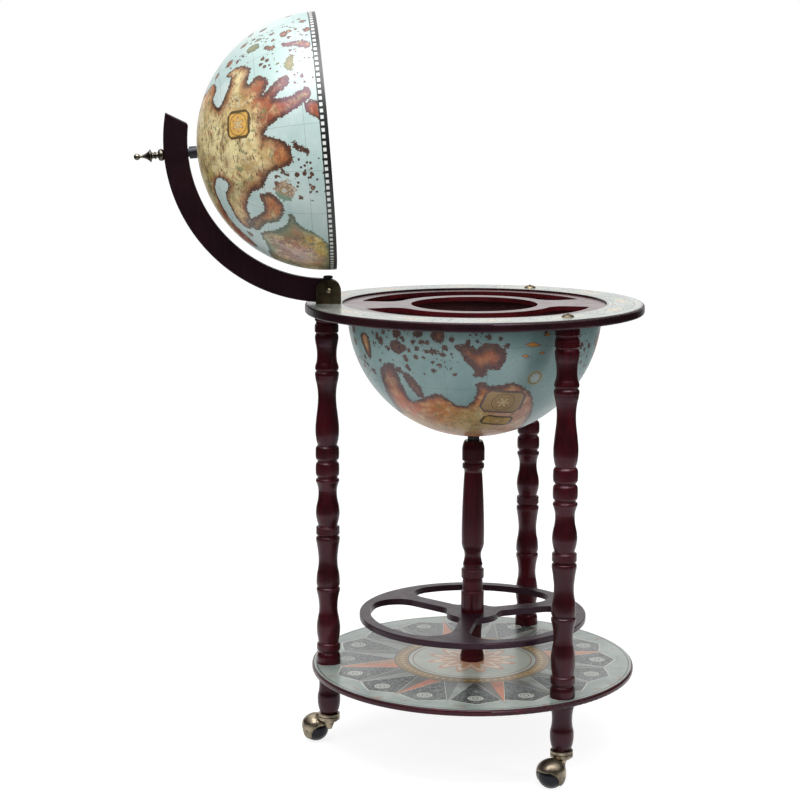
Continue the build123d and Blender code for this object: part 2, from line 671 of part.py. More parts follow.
# ---- Upper half globe and the bush that turns on the stud ----
with BuildPart() as lid_shell:
    with BuildSketch(lid_plane):
        with BuildLine():
            outside = CenterArc((0, 0), lid_r, 0, 90)
            inside = CenterArc((0, 0), lid_inner_r, 0, 90)
            Line(outside @ 0, inside @ 0)
            Line(outside @ 1, inside @ 1)
        make_face()
    revolve(axis=Axis(lid_centre, pole))
    with BuildSketch(Plane(lid_centre, x_dir=rim_way, z_dir=pole)):
        Circle(bush_sleeve_d / 2 + slip)
    extrude(amount=lid_r + gap, mode=Mode.SUBTRACT)
keep(lid_shell, "lid_shell")

bush_top = sqrt(lid_r ** 2 - (bush_sleeve_d / 2) ** 2)
lid_bush = turned(pole_plane(bush_top), bush_sleeve_d, [
    (bush_top - bush_seat, None, bush_sleeve_d), (0, None, bush_flange_d),
    (bush_flange, None, bush_flange_d),
], [(0, bush_top - bush_seat + bush_flange, axle_stud_d + 2 * running)])
keep(lid_bush, "lid_bush")
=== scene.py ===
import json
import math

import bmesh
import bpy
import numpy as np
from mathutils import Matrix, Vector, kdtree


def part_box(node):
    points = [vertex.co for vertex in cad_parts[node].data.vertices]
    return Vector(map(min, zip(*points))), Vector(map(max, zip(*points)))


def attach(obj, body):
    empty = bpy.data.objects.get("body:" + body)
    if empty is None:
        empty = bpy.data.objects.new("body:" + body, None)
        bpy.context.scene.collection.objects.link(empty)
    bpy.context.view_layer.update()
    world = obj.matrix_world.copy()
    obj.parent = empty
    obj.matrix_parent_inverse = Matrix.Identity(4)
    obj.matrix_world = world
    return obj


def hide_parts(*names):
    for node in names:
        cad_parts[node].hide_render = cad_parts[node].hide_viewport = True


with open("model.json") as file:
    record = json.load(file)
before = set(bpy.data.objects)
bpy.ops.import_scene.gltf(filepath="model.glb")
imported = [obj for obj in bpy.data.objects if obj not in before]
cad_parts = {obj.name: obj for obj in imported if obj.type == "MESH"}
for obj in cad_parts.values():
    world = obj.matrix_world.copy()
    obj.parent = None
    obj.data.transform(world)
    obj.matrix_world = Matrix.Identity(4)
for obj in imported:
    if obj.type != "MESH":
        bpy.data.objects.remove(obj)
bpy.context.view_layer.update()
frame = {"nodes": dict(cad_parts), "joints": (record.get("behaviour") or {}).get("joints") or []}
nodes = frame["nodes"]
print("frame loaded:", len(nodes), "nodes")

legNames = ("hinge", "front", "rear")


def addNode(tree, kind, inputs=(), **settings):
    # a new node; its inputs are linked or set, in turn or by name
    n = tree.nodes.new(kind)
    for key, value in settings.items():
        setattr(n, key, value)
    for key, value in (inputs.items() if isinstance(inputs, dict) else enumerate(inputs)):
        if isinstance(value, bpy.types.NodeSocket):
            tree.links.new(value, n.inputs[key])
        else:
            n.inputs[key].default_value = value
    return n


class Recipe:
    # one material's node tree, with short calls for the nodes this object uses

    def __init__(self, name):
        self.mat = bpy.data.materials.new(name)
        self.mat.use_nodes = True
        self.tree = self.mat.node_tree
        self.shader = self.tree.nodes["Principled BSDF"]
        self.made = 0

    def node(self, kind, inputs=(), output=0, **settings):
        n = addNode(self.tree, kind, inputs, **settings)
        self.made += 1
        n.location = (-220 * (self.made % 9) - 200, -160 * (self.made // 9))
        return n.outputs[output]

    def math(self, operation, a, b=0.0):
        return self.node("ShaderNodeMath", (a, b), operation=operation)

    def plus(self, a, b):
        return self.math("ADD", a, b)

    def minus(self, a, b):
        return self.math("SUBTRACT", a, b)

    def times(self, a, b):
        return self.math("MULTIPLY", a, b)

    def least(self, a, b):
        return self.math("MINIMUM", a, b)

    def absolute(self, a):
        return self.math("ABSOLUTE", a)

    def cosine(self, a):
        return self.math("COSINE", a)

    def hypot(self, a, b):
        return self.math("SQRT", self.plus(self.times(a, a), self.times(b, b)))

    def polar(self, x, y):
        # distance from the middle, and angle in radians
        return self.hypot(x, y), self.math("ARCTAN2", y, x)

    def wobble(self, point, scale, amount, detail=3.0, roughness=0.5):
        # noise about zero, amount from its lowest to its highest
        return self.times(self.minus(self.noise(point, scale, detail, roughness), 0.5), amount)

    def vector(self, operation, a, b=(0, 0, 0), scale=1.0):
        output = "Value" if operation == "DOT_PRODUCT" else "Vector"
        return self.node("ShaderNodeVectorMath", {0: a, 1: b, 3: scale}, output, operation=operation)

    def objectPoint(self, turn=0.0):
        # a point on the piece, in metres, along axes turned by so many degrees about z
        point = self.node("ShaderNodeTexCoord", output="Object")
        if not turn:
            return point
        inputs = {"Vector": point, "Rotation": (0, 0, math.radians(turn))}
        return self.node("ShaderNodeMapping", inputs, vector_type="TEXTURE")

    def attribute(self, name, output="Fac"):
        return self.node("ShaderNodeAttribute", output=output, attribute_name=name)

    def noise(self, point, scale, detail=3.0, roughness=0.5, output=0):
        inputs = {"Vector": point, "Scale": scale, "Detail": detail, "Roughness": roughness}
        return self.node("ShaderNodeTexNoise", inputs, output)

    def voronoi(self, point, scale, feature="F1", output="Distance"):
        return self.node("ShaderNodeTexVoronoi", {"Vector": point, "Scale": scale}, output, feature=feature)

    def stretched(self, point, factors):
        return self.vector("MULTIPLY", point, factors)

    def step(self, value, start, end, low=0.0, high=1.0):
        # low below start, high above end, smooth between
        return self.node("ShaderNodeMapRange", (value, start, end, low, high),
                         interpolation_type="SMOOTHSTEP", clamp=True)

    def between(self, value, low, high, soft=0.0002):
        # 1 from low to high, with soft edges
        return self.times(self.step(value, low, low + soft), self.step(value, high, high + soft, 1.0, 0.0))

    def mix(self, factor, a, b, blend="MIX"):
        return self.node("ShaderNodeMix", {"Factor": factor, "A": rgba(a), "B": rgba(b)}, "Result",
                         data_type="RGBA", blend_type=blend, clamp_factor=True)

    def cover(self, under, over, value, start, end, share=1.0, within=None, before=0.0):
        # under, and over on it where value is past end, softly from start
        mask = self.step(value, start, end, before, share)
        return self.mix(mask if within is None else self.times(mask, within), under, over)

    def line(self, under, over, value, start, end, share=1.0, within=None):
        # under, and over on it where value is below start, softly to end
        return self.cover(under, over, value, start, end, 0.0, within, share)

    def separate(self, vector):
        return addNode(self.tree, "ShaderNodeSeparateXYZ", (vector,)).outputs[:3]

    def combine(self, x, y, z):
        return self.node("ShaderNodeCombineXYZ", (x, y, z))

    def bump(self, height, strength, distance):
        return self.node("ShaderNodeBump", {"Strength": strength, "Distance": distance, "Height": height})

    def finish(self, colour, roughness, bump, **fixed):
        # links what varies and sets the rest on the shader's own sockets
        for key, value in {"Base Color": colour, "Roughness": roughness, "Normal": bump}.items():
            self.tree.links.new(value, self.shader.inputs[key])
        for key, value in fixed.items():
            self.shader.inputs[key.replace("_", " ")].default_value = value
        return self.mat


def rgba(colour):
    return (*colour, 1.0) if isinstance(colour, tuple) else colour


def srgb(r, g, b):
    # an everyday 0-255 colour as the linear one that the nodes use
    return tuple(((v / 255 + 0.055) / 1.055) ** 2.4 if v > 10 else v / 255 / 12.92 for v in (r, g, b))


def lacqueredWood(name, dark, light, gloss=0.24, grainAxis="z", sheen=0.12, specular=0.28):
    r = Recipe(name)
    point = r.objectPoint()
    along = {"z": (1, 1, 0.05), "x": (0.05, 1, 1)}[grainAxis]
    grain = r.noise(r.stretched(point, along), 300, 4, 0.55)
    tone = r.plus(r.times(grain, 0.45), r.times(r.noise(point, 16), 0.55))
    colour = r.cover(dark, light, tone, 0.38, 0.64)
    rough = r.step(r.noise(point, 60), 0.3, 0.7, gloss + 0.04, gloss + 0.12)
    height = r.bump(r.plus(grain, r.times(r.noise(point, 90, 2), 0.4)), 0.03, 0.0004)
    return r.finish(colour, rough, height, Specular_IOR_Level=specular, Coat_Weight=sheen,
                    Coat_Roughness=gloss * 0.7, Coat_IOR=1.5, Specular_Tint=(1.0, 0.74, 0.94, 1))


def agedBrass(name, bright, dark, rough):
    r = Recipe(name)
    point = r.objectPoint()
    patina = r.noise(point, 70)
    colour = r.cover(dark, bright, patina, 0.3, 0.7)
    gloss = r.step(patina, 0.3, 0.7, rough + 0.08, rough)
    return r.finish(colour, gloss, r.bump(r.noise(point, 900), 0.04, 0.0002), Metallic=1.0)


def zincSteel(name):
    r = Recipe(name)
    brushed = r.noise(r.stretched(r.objectPoint(), (1, 1, 0.1)), 900)
    colour = r.mix(brushed, (0.38, 0.38, 0.40), (0.60, 0.60, 0.62))
    rough = r.step(brushed, 0.3, 0.7, 0.26, 0.42)
    return r.finish(colour, rough, r.bump(brushed, 0.05, 0.0002), Metallic=1.0)


def mouldedBlack(name, rough=0.45, grain=700, specular=0.5, pitted=0.1):
    r = Recipe(name)
    point = r.objectPoint()
    fine = r.noise(point, grain)
    colour = r.mix(r.noise(point, 50, 2), (0.006, 0.006, 0.007), (0.016, 0.016, 0.018))
    gloss = r.step(fine, 0.3, 0.7, rough - 0.07, rough + 0.08)
    return r.finish(colour, gloss, r.bump(fine, pitted, 0.0002), Specular_IOR_Level=specular,
                    Specular_Tint=(0.85, 0.88, 1.0, 1))


finishes = {
    "darkWood": lacqueredWood("dark mahogany", srgb(38, 7, 10), srgb(62, 11, 16)),
    "bowWood": lacqueredWood("bow wood", srgb(25, 12, 16), srgb(36, 16, 21), 0.34, "z", 0.03, 0.18),
    "ringWood": lacqueredWood("ring wood", srgb(26, 11, 15), srgb(42, 16, 21), 0.3, "x", 0.06, 0.26),
    "rackWood": lacqueredWood("rack wood", srgb(31, 15, 23), srgb(42, 20, 29), 0.3, "x", 0.1, 0.28),
    "insertWood": lacqueredWood("insert wood", srgb(56, 11, 14), srgb(84, 19, 22), 0.22, "x", 0.3, 0.5),
    "brass": agedBrass("antique brass", (0.34, 0.285, 0.205), (0.10, 0.082, 0.06), 0.33),
    "greyBrass": agedBrass("grey brass", (0.20, 0.182, 0.145), (0.06, 0.054, 0.043), 0.28),
    "rivetBrass": agedBrass("rivet brass", (0.92, 0.84, 0.62), (0.62, 0.54, 0.36), 0.36),
    "darkBrass": agedBrass("dark brass", (0.165, 0.13, 0.08), (0.07, 0.055, 0.035), 0.36),
    "steel": zincSteel("zinc steel"),
    "blackPlastic": mouldedBlack("black plastic"),
    "rubber": mouldedBlack("rubber", 0.7, 1200),
    "blackBall": mouldedBlack("black ball", 0.2, 500, 0.24, 0.01),
}


def dress(finish, *names):
    # a CAD node keeps its own mesh and gets a better finish
    for name in names:
        mesh = nodes[name].data
        mesh.materials.clear()
        mesh.materials.append(finishes[finish])


def each(stem):
    return [f"{stem}_{name}" for name in legNames]


dress("darkWood", "column", "column_base", "shelf", *each("leg"), *each("foot"))
dress("bowWood", "meridian_bow")
dress("ringWood", "table_ring")
dress("rackWood", "bottle_rack")
dress("insertWood", "bowl_insert")
dress("brass", *each("caster_collar"))
dress("greyBrass", "finial", *each("caster_axle"))
dress("rivetBrass", "hinge_pin")
dress("darkBrass", "hinge_bracket", "cap_bolt_front", "cap_bolt_rear")
dress("steel", "tie_rod", "bowl_washer", "bowl_nut", "shelf_washer", "shelf_nut", "axle_stud", "lid_washer",
      "lid_nut", "bracket_screw", *each("foot_stud"), *each("caster_stem"))
dress("blackPlastic", "lid_spacer", "bowl_spacer", "lid_bush")
dress("rubber", "bow_button")
dress("blackBall", *each("caster_ball"))
print("CAD nodes dressed")


def newPiece(name, bm):
    # an object of that name with the bmesh's shape
    mesh = bpy.data.meshes.new(name)
    bm.to_mesh(mesh)
    bm.free()
    piece = bpy.data.objects.new(name, mesh)
    bpy.context.scene.collection.objects.link(piece)
    return piece


hoodShape = {
    "innerR": 0.0186,  # what lies nearer the ball's middle than this stays
    "skirtR": 0.0194,  # at the ball's middle
    "domeRise": (0.0018, 0, 40),  # how much wider the dome grows, between these degrees above the middle
    "crownRise": (0.0007, 62, 90),
    "bossR": 0.0153,  # round the stem, where the collar's seat and the boss keep their shape
    "edge": 0.0022,  # longest edge on the outside
    "sharp": 48,  # degrees
}


def eased(value, start, end):
    t = min(max((value - start) / (end - start), 0.0), 1.0)
    return t * t * (3 - 2 * t)


def softHood(name):
    # a pressed hood: the CAD hood's copy, its shoulder drawn out to one smooth dome
    ball, stem = ((Vector(low) + Vector(high)) / 2 for low, high in
                  (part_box(f"caster_ball_{name}"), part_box(f"caster_stem_{name}")))
    bm = bmesh.new()
    bm.from_mesh(nodes[f"caster_hood_{name}"].data)
    bmesh.ops.remove_doubles(bm, verts=bm.verts, dist=2e-6)

    def facesOut(face):
        return face.normal.dot((face.calc_center_median() - ball).normalized()) > 0.6

    for _ in range(3):
        long = {e for f in bm.faces if facesOut(f) for e in f.edges if e.calc_length() > hoodShape["edge"]}
        bmesh.ops.subdivide_edges(bm, edges=list(long), cuts=1)
        bmesh.ops.triangulate(bm, faces=[f for f in bm.faces if len(f.verts) > 3])
    bm.normal_update()
    outer = {v for f in bm.faces if facesOut(f) for v in f.verts
             if (v.co.xy - stem.xy).length > hoodShape["bossR"]}
    for v in outer:
        out = v.co - ball
        up = math.degrees(math.atan2(out.z, out.xy.length))
        size = hoodShape["skirtR"]
        for rise, start, end in (hoodShape["domeRise"], hoodShape["crownRise"]):
            size += rise * eased(up, start, end)
        if out.length > hoodShape["innerR"]:
            v.co = ball + out.normalized() * size
    bmesh.ops.dissolve_degenerate(bm, edges=bm.edges, dist=1e-6)
    for face in bm.faces:
        face.smooth = True
    piece = newPiece(f"hood_{name}", bm)
    piece.data.validate()
    piece.data.set_sharp_from_angle(angle=math.radians(hoodShape["sharp"]))
    piece.data.materials.append(finishes["brass"])
    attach(piece, f"caster_{name}")
    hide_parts(f"caster_hood_{name}")


for name in legNames:
    softHood(name)
print("hoods pressed")


globes = {
    "mesh": 0.0022,  # side of a face on the outside, which carries the map
    "coastStep": 0.0007,  # spacing of the coast points that distances are taken from
    "insideRows": 40,
    "sharp": 40,  # degrees
    "lid": {"r": 0.167, "wall": 0.0035, "hole": 0.0061, "lip": 0.0, "band": True, "fringe": 1.0,
            "mottling": 1.0, "sea": (srgb(180, 205, 201), srgb(208, 223, 220))},
    # the bowl's sea is painted darker than the lid's: painted shade from the table ring above it
    "bowl": {"r": 0.1689, "wall": 0.004, "hole": 0.0041, "lip": 0.0015, "band": False, "fringe": 1.8,
             "mottling": 0.6, "sea": (srgb(120, 153, 153), srgb(151, 176, 175)), "centre": (0, 0, 0.598)},
}
mapColours = {name: srgb(*tone) for name, tone in {
    "ochre": (216, 190, 134), "sand": (238, 224, 172), "orange": (206, 128, 70), "salmon": (206, 108, 78),
    "rust": (170, 78, 56), "plum": (140, 84, 92), "olive": (120, 128, 84), "rose": (214, 160, 140),
    "moss": (70, 96, 80), "cream": (226, 206, 150), "cherry": (178, 74, 58), "crimson": (172, 62, 70),
    "mauve": (160, 122, 132), "tan": (204, 158, 140), "gold": (168, 140, 62), "yellow": (222, 192, 70),
    "lavender": (186, 170, 172), "fern": (148, 162, 118), "ember": (190, 106, 64), "bark": (156, 116, 78),
    "straw": (226, 216, 160), "river": (206, 206, 180), "coastInk": (62, 40, 36), "duskInk": (52, 42, 50),
    "plumInk": (112, 84, 96), "hillInk": (92, 58, 38), "dripInk": (118, 84, 62), "seaInk": (96, 122, 124),
    "lineInk": (84, 92, 84),
}.items()}
# Longitude, latitude in degrees. On the lid 0 is the top of the open lid, 90 its near side and
# 90 degrees of latitude its pole. On the bowl 0 faces the front, 90 the right, and the pole is the bottom.
lidLands = {
    "main": [(16, 63), (27, 55), (40, 53), (46, 56), (57, 52), (52, 47), (43, 43), (37, 45), (38, 38),
        (45, 32), (54, 34), (52, 28), (57, 24), (63, 27), (58, 20), (56, 16), (61, 15), (66, 22), (67, 15),
        (64, 8), (68, 6), (73, 13), (77, 22), (82, 28), (84, 24), (88, 18), (95, 16), (98, 20), (101, 27),
        (108, 31), (113, 37), (122, 40), (134, 38), (141, 41), (138, 47), (129, 51), (121, 53), (112, 50),
        (110, 57), (124, 61), (137, 57), (148, 50), (153, 40), (160, 37), (166, 44), (172, 52), (180, 57),
        (188, 58), (196, 50), (205, 46), (211, 51), (218, 60), (226, 66), (238, 68), (246, 63), (253, 57),
        (260, 60), (268, 63), (276, 58), (284, 57), (290, 63), (300, 60), (309, 53), (318, 52), (328, 56),
        (336, 50), (344, 48), (352, 53), (2, 54)],
    "cape": [(113, 33), (111, 27), (117, 22), (125, 24), (130, 31), (138, 36), (134, 40), (124, 33),
        (119, 31)],
    "south": [(120, 19), (127, 15), (131, 9), (140, 3), (158, 2), (176, 5), (186, 12), (178, 24), (163, 30),
        (150, 31), (139, 34), (133, 27), (127, 21)],
    "farEast": [(72, 2), (70, 7), (74, 9), (78, 4), (77, 1)],
    "farSide": [(206, 11), (212, 7), (219, 10), (224, 6), (232, 8), (236, 14), (243, 11), (249, 15),
        (255, 12), (262, 16), (266, 24), (260, 28), (262, 35), (255, 39), (249, 34), (245, 43), (237, 45),
        (232, 38), (226, 40), (219, 33), (221, 27), (212, 24), (208, 17)],
    "farCape": [(282, 24), (288, 19), (291, 12), (298, 10), (302, 16), (309, 13), (317, 17), (316, 23),
        (325, 27), (321, 34), (313, 36), (308, 44), (300, 41), (297, 33), (290, 35), (285, 30)],
    "northIsle": [(336, 26), (341, 19), (348, 17), (352, 22), (358, 24), (355, 31), (349, 30), (346, 36),
        (340, 33)],
    "hornIsle": [(186, 24), (190, 20), (196, 22), (198, 29), (193, 33), (188, 30)],
    "longIsle": [(37, 16), (40, 15), (41, 11), (44, 6), (41, 4), (38, 7), (38, 11)],
    "tallIsle": [(46, 12), (48, 15), (52, 16), (55, 13), (52, 12), (49, 12)],
    "greenIsle": [(27, 31), (29, 27), (33, 27), (33, 31), (30, 33)],
    "darkIsle": [(87, 16), (88, 13), (91, 9), (93, 9), (91, 13), (89, 16)],
}
lidIslands = [  # longitude, latitude, radius in degrees of the globe
    (27, 43, 2.2), (20, 34, 1.7), (38, 21, 1.7), (36, 23, 1.2), (30, 15, 2.0), (29, 13, 1.4), (31, 5, 1.6),
    (22, 6, 1.6), (24, 52, 1.6), (15, 24, 1.6), (100, 21, 0.9), (101, 19, 0.7), (49, 19, 0.7),
    (32, 20, 0.9), (26, 20, 1.1), (34, 13, 0.9), (112, 14, 0.9), (146, 40, 1.6), (196, 30, 2.2),
    (205, 20, 1.7), (272, 12, 2.0), (276, 24, 1.5), (330, 10, 2.1), (340, 12, 1.2), (6, 12, 1.6),
    (9, 30, 1.8), (355, 8, 1.1),
]
bowlLands = {
    "main": [(-62, 35), (-59, 27), (-56, 22), (-50, 19), (-46, 21), (-45, 30), (-44, 39), (-36, 37),
        (-27, 33), (-23, 34), (-20, 36), (-17, 39), (-11, 40), (-7, 37), (-5, 32), (-5, 27), (-1, 26),
        (2, 28), (12, 27), (18, 29), (26, 35), (33, 45), (43, 58), (70, 72), (110, 66), (128, 50),
        (138, 44), (150, 40), (160, 44), (166, 52), (172, 50), (180, 46), (188, 52), (196, 60), (212, 64),
        (230, 62), (240, 56), (248, 60), (262, 60), (272, 54), (280, 48), (288, 50), (294, 44)],
    "great": [(-15, 9), (-12, 12), (-11, 15), (-8, 18), (-6, 20), (-6, 23), (-1, 23), (0, 20), (5, 20),
        (7, 17), (8, 13), (6, 10), (3, 8), (-2, 8), (-5, 10), (-9, 8)],
    "westIsle": [(-68, 8), (-62, 7), (-60, 12), (-63, 19), (-66, 15)],
    "strip": [(-42, 23), (-38, 24), (-34, 30), (-34, 36), (-38, 35), (-41, 29)],
    "eastLand": [(68, 12), (74, 7), (84, 9), (90, 18), (84, 27), (76, 23), (70, 17)],
    "backLand": [(112, 14), (118, 9), (126, 11), (132, 7), (141, 9), (147, 6), (153, 11), (151, 17),
        (159, 20), (160, 27), (152, 30), (147, 27), (143, 34), (135, 35), (131, 29), (124, 31), (119, 25),
        (121, 19)],
    "backIsle": [(192, 18), (197, 12), (204, 13), (208, 9), (215, 13), (214, 20), (219, 25), (211, 28),
        (205, 25), (199, 29), (194, 24)],
    "farIsle": [(244, 18), (250, 12), (257, 14), (262, 9), (270, 12), (269, 19), (275, 23), (271, 31),
        (263, 28), (258, 33), (250, 30), (252, 24)],
}
bowlIslands = [
    (-22, 5, 3.0), (-31, 4, 2.2), (-42, 5, 2.2), (-52, 9, 1.8), (-43, 11, 3.2), (-40, 11, 2.0),
    (-48, 12, 1.2), (-36, 12, 1.1), (-32, 11, 1.0), (-28, 12, 1.1), (-25, 12, 1.2), (-23, 12, 1.0),
    (-19, 10, 1.4), (-20, 13, 1.2), (-25, 17, 0.9), (-22, 18, 0.9), (-22, 19, 0.8), (-25, 21, 1.0),
    (-44, 22, 1.6), (-47, 20, 1.1), (-64, 25, 1.4), (-76, 6, 2.2), (-16, 6, 1.2), (-9, 7, 1.0),
    (-5, 7, 0.9), (0, 5, 1.3), (5, 6, 0.9), (8, 9, 1.1), (-34, 8, 1.0), (-30, 8, 1.1), (-27, 8, 1.0),
    (-39, 7, 1.1), (-54, 7, 1.4), (-50, 5, 1.2), (-57, 6, 0.9), (-33, 15, 0.9), (-29, 15, 0.8),
    (26, 4, 1.0), (47, 7, 1.3), (50, 12, 1.6), (54, 20, 1.0), (58, 13, 1.5), (49, 24, 0.9), (94, 10, 2.4),
    (100, 26, 1.6), (112, 10, 1.5), (170, 10, 2.2), (178, 18, 1.6), (188, 28, 1.3), (224, 8, 1.8),
    (232, 22, 2.2), (240, 12, 1.3), (284, 12, 1.9), (276, 8, 1.2),
]
# Colours of land and coasts: longitude, latitude, reach in degrees. One written twice pulls harder.
lidTints = {
    "sand": [(90, 60, 30), (45, 36, 10), (90, 34, 14), (160, 8, 8), (250, 66, 14)],
    "ochre": [(60, 45, 16), (106, 38, 12), (126, 45, 10), (200, 58, 22), (350, 26, 10)],
    "orange": [(30, 56, 9), (92, 20, 8), (121, 28, 8), (300, 58, 24)],
    "salmon": [(60, 27, 9), (66, 18, 9), (34, 12, 8), (305, 26, 14), (122, 42, 5), (130, 17, 4)],
    "plum": [(66, 9, 7), (30, 20, 14)],
    "rust": [(75, 24, 8), (150, 44, 8), (74, 5, 5), (24, 44, 6), (27, 43, 4), (158, 8, 6)],
    "olive": [(134, 20, 8), (17, 33, 5), (128, 64, 8)],
    "rose": [(150, 18, 12), (235, 24, 16)],
    "mauve": [(41, 10, 5), (41, 10, 5), (62, 14, 5), (63, 8, 5)],
    "tan": [(51, 14, 4), (51, 14, 4)],
    "cherry": [(145, 54, 6), (150, 51, 6)],
    "crimson": [(158, 42, 6), (157, 37, 5)],
    "gold": [(115, 62, 8), (106, 66, 8), (95, 61, 4)],
    "fern": [(110, 40, 6), (118, 48, 7), (30, 29, 5), (30, 29, 5), (165, 21, 8), (150, 30, 6)],
    "bark": [(97, 61, 4), (96, 50, 4), (95, 40, 4), (104, 34, 5)],
    "straw": [(84, 54, 8), (70, 50, 7), (88, 44, 6), (56, 40, 5)],
    "coastInk": [(90, 12, 5)],
    "ember": [(140, 20, 7)],
    "yellow": [(142, 5, 6), (137, 11, 5)],
    "lavender": [(145, 24, 6), (149, 16, 7)],
}
lidShores = {
    "moss": [(150, 12, 22), (130, 17, 12), (30, 29, 5), (148, 32, 6)],
    "olive": [(51, 14, 5)],
    "plumInk": [(41, 10, 6), (62, 11, 9), (70, 12, 6)],
    "coastInk": [(113, 28, 12)],
}
bowlShores = {"duskInk": [(0, 30, 300)], "moss": [(140, 20, 14)]}
# places thick with tiny islands: longitude, latitude, reach in degrees
lidClusters = [
    (33, 22, 7), (32, 8, 9), (47, 9, 6), (34, 37, 5), (57, 11, 5), (100, 9, 7), (107, 7, 5), (100, 20, 5),
    (45, 24, 5), (28, 25, 8), (38, 14, 6), (27, 13, 6), (55, 15, 5), (182, 12, 8), (204, 36, 7),
    (272, 26, 7), (276, 44, 6), (326, 8, 8), (340, 12, 9), (236, 24, 5), (262, 48, 5),
]
bowlClusters = [
    (54, 14, 9), (-40, 8, 11), (-28, 10, 9), (-56, 8, 8), (-22, 16, 6), (0, 6, 8), (6, 9, 5), (-46, 24, 4),
    (92, 12, 8), (170, 12, 9), (232, 16, 9), (118, 38, 7), (164, 34, 6), (210, 36, 8), (262, 42, 7),
    (290, 24, 8), (308, 12, 8), (66, 34, 6),
]
bowlTints = {
    "plum": [(-48, 26, 10)],
    "salmon": [(-46, 40, 10), (2, 17, 7), (140, 20, 14), (230, 60, 20)],
    "orange": [(-28, 46, 12), (0, 34, 8), (-8, 16, 8), (-22, 8, 6), (-40, 12, 8), (0, 80, 20)],
    "ochre": [(-8, 52, 14), (-60, 14, 8), (204, 18, 10), (140, 55, 20)],
    "rose": [(18, 44, 14), (80, 16, 10), (90, 75, 20), (-38, 30, 5)],
    "rust": [(50, 12, 6), (258, 20, 10)],
}
# the colour that each dark coast warms to as it fades inland
fadesTo = {"coastInk": "ember", "duskInk": "ember", "moss": "fern", "olive": "tan", "plumInk": "mauve"}


def globePoint(lon, lat):
    # a unit vector in the half globe's own axes: x at longitude 0, y at 90, z at the pole
    lon, lat = math.radians(lon), math.radians(lat)
    return Vector((math.cos(lat) * math.cos(lon), math.cos(lat) * math.sin(lon), math.sin(lat)))


def smoothOutline(outline, spacing):
    # a closed curve through the outline's points, as points spacing radians apart
    knots = [globePoint(*p) for p in outline]
    n, points = len(knots), []
    for i in range(n):
        a, b, c, d = (knots[(i + k - 1) % n] for k in range(4))
        count = max(2, int((c - b).length / spacing))
        for step in range(count):
            t = step / count
            p = 0.5 * (2 * b + (c - a) * t + (2 * a - 5 * b + 4 * c - d) * t * t
                       + (3 * b - a - 3 * c + d) * t ** 3)
            points.append(p.normalized())
    return points


def insideOutline(flat, ring):
    # which of the flat points lie inside the closed ring, by counting crossings
    inside = np.zeros(len(flat), bool)
    x, y = flat[:, 0], flat[:, 1]
    for (x1, y1), (x2, y2) in zip(ring, np.roll(ring, -1, axis=0)):
        crosses = (y1 > y) != (y2 > y)
        if y1 != y2:
            inside ^= crosses & (x < (x2 - x1) * (y - y1) / (y2 - y1) + x1)
    return inside


def flattened(points):
    # azimuthal map round the pole: the angle from the pole becomes a distance
    points = np.asarray(points, float)
    angle = np.arccos(np.clip(points[:, 2], -1, 1))
    around = np.arctan2(points[:, 1], points[:, 0])
    return np.stack((angle * np.cos(around), angle * np.sin(around)), axis=1)


def reachFrom(places, lon, lat):
    # how far each place lies from a spot, in radians
    return np.linalg.norm(places - np.array(globePoint(lon, lat)), axis=1)


def blended(places, base, weight, tints, becomes=None):
    # one colour per place: the base colour, pulled towards each tint near it
    weights = np.full(len(places), weight)
    paint = np.outer(weights, mapColours[base])
    for name, spots in tints.items():
        tone = mapColours[becomes[name] if becomes else name]
        for lon, lat, reach in spots:
            w = np.exp(-(np.degrees(reachFrom(places, lon, lat)) / reach) ** 2 * 2.5)
            paint += np.outer(w, tone)
            weights += w
    return np.column_stack((paint / weights[:, None], np.ones(len(places))))


def drawMap(mesh, places, radius, lands, islands, tints, shores, clusters):
    # writes the map on the mesh: distance inland from the nearest coast in mm, colours, place on the globe
    coast, flatPlaces = [], flattened(places)
    inland = np.zeros(len(places), bool)
    for outline in lands.values():
        ring = smoothOutline(outline, globes["coastStep"] / radius)
        coast += ring
        inland |= insideOutline(flatPlaces, flattened(ring))
    tree = kdtree.KDTree(len(coast))
    for i, p in enumerate(coast):
        tree.insert(p, i)
    tree.balance()
    away = np.array([tree.find(Vector(p))[2] for p in places]) * radius * 1000
    away = np.where(inland, away, -away)
    for lon, lat, size in islands:
        away = np.maximum(away, (math.radians(size) - reachFrom(places, lon, lat)) * radius * 1000)
    thick = np.zeros(len(places))
    for lon, lat, reach in clusters:
        thick = np.maximum(thick, np.exp(-(np.degrees(reachFrom(places, lon, lat)) / reach) ** 2 * 1.5))
    for name, kind, field, values in (
            ("coast", "FLOAT", "value", away), ("place", "FLOAT_VECTOR", "vector", places),
            ("thick", "FLOAT", "value", thick),
            ("paint", "FLOAT_COLOR", "color", blended(places, "ochre", 0.02, tints)),
            ("shore", "FLOAT_COLOR", "color", blended(places, "coastInk", 0.06, shores)),
            ("fade", "FLOAT_COLOR", "color", blended(places, "ember", 0.06, shores, fadesTo))):
        mesh.attributes.new(name, kind, "POINT").data.foreach_set(field, values.astype(np.float32).ravel())


def arc(radius, hole, rows):
    # points of a quarter circle, from the rim to the edge of the hole at the pole
    last = math.acos(hole / radius)
    angles = [last * i / rows for i in range(rows + 1)]
    return [(radius * math.cos(a), radius * math.sin(a)) for a in angles]


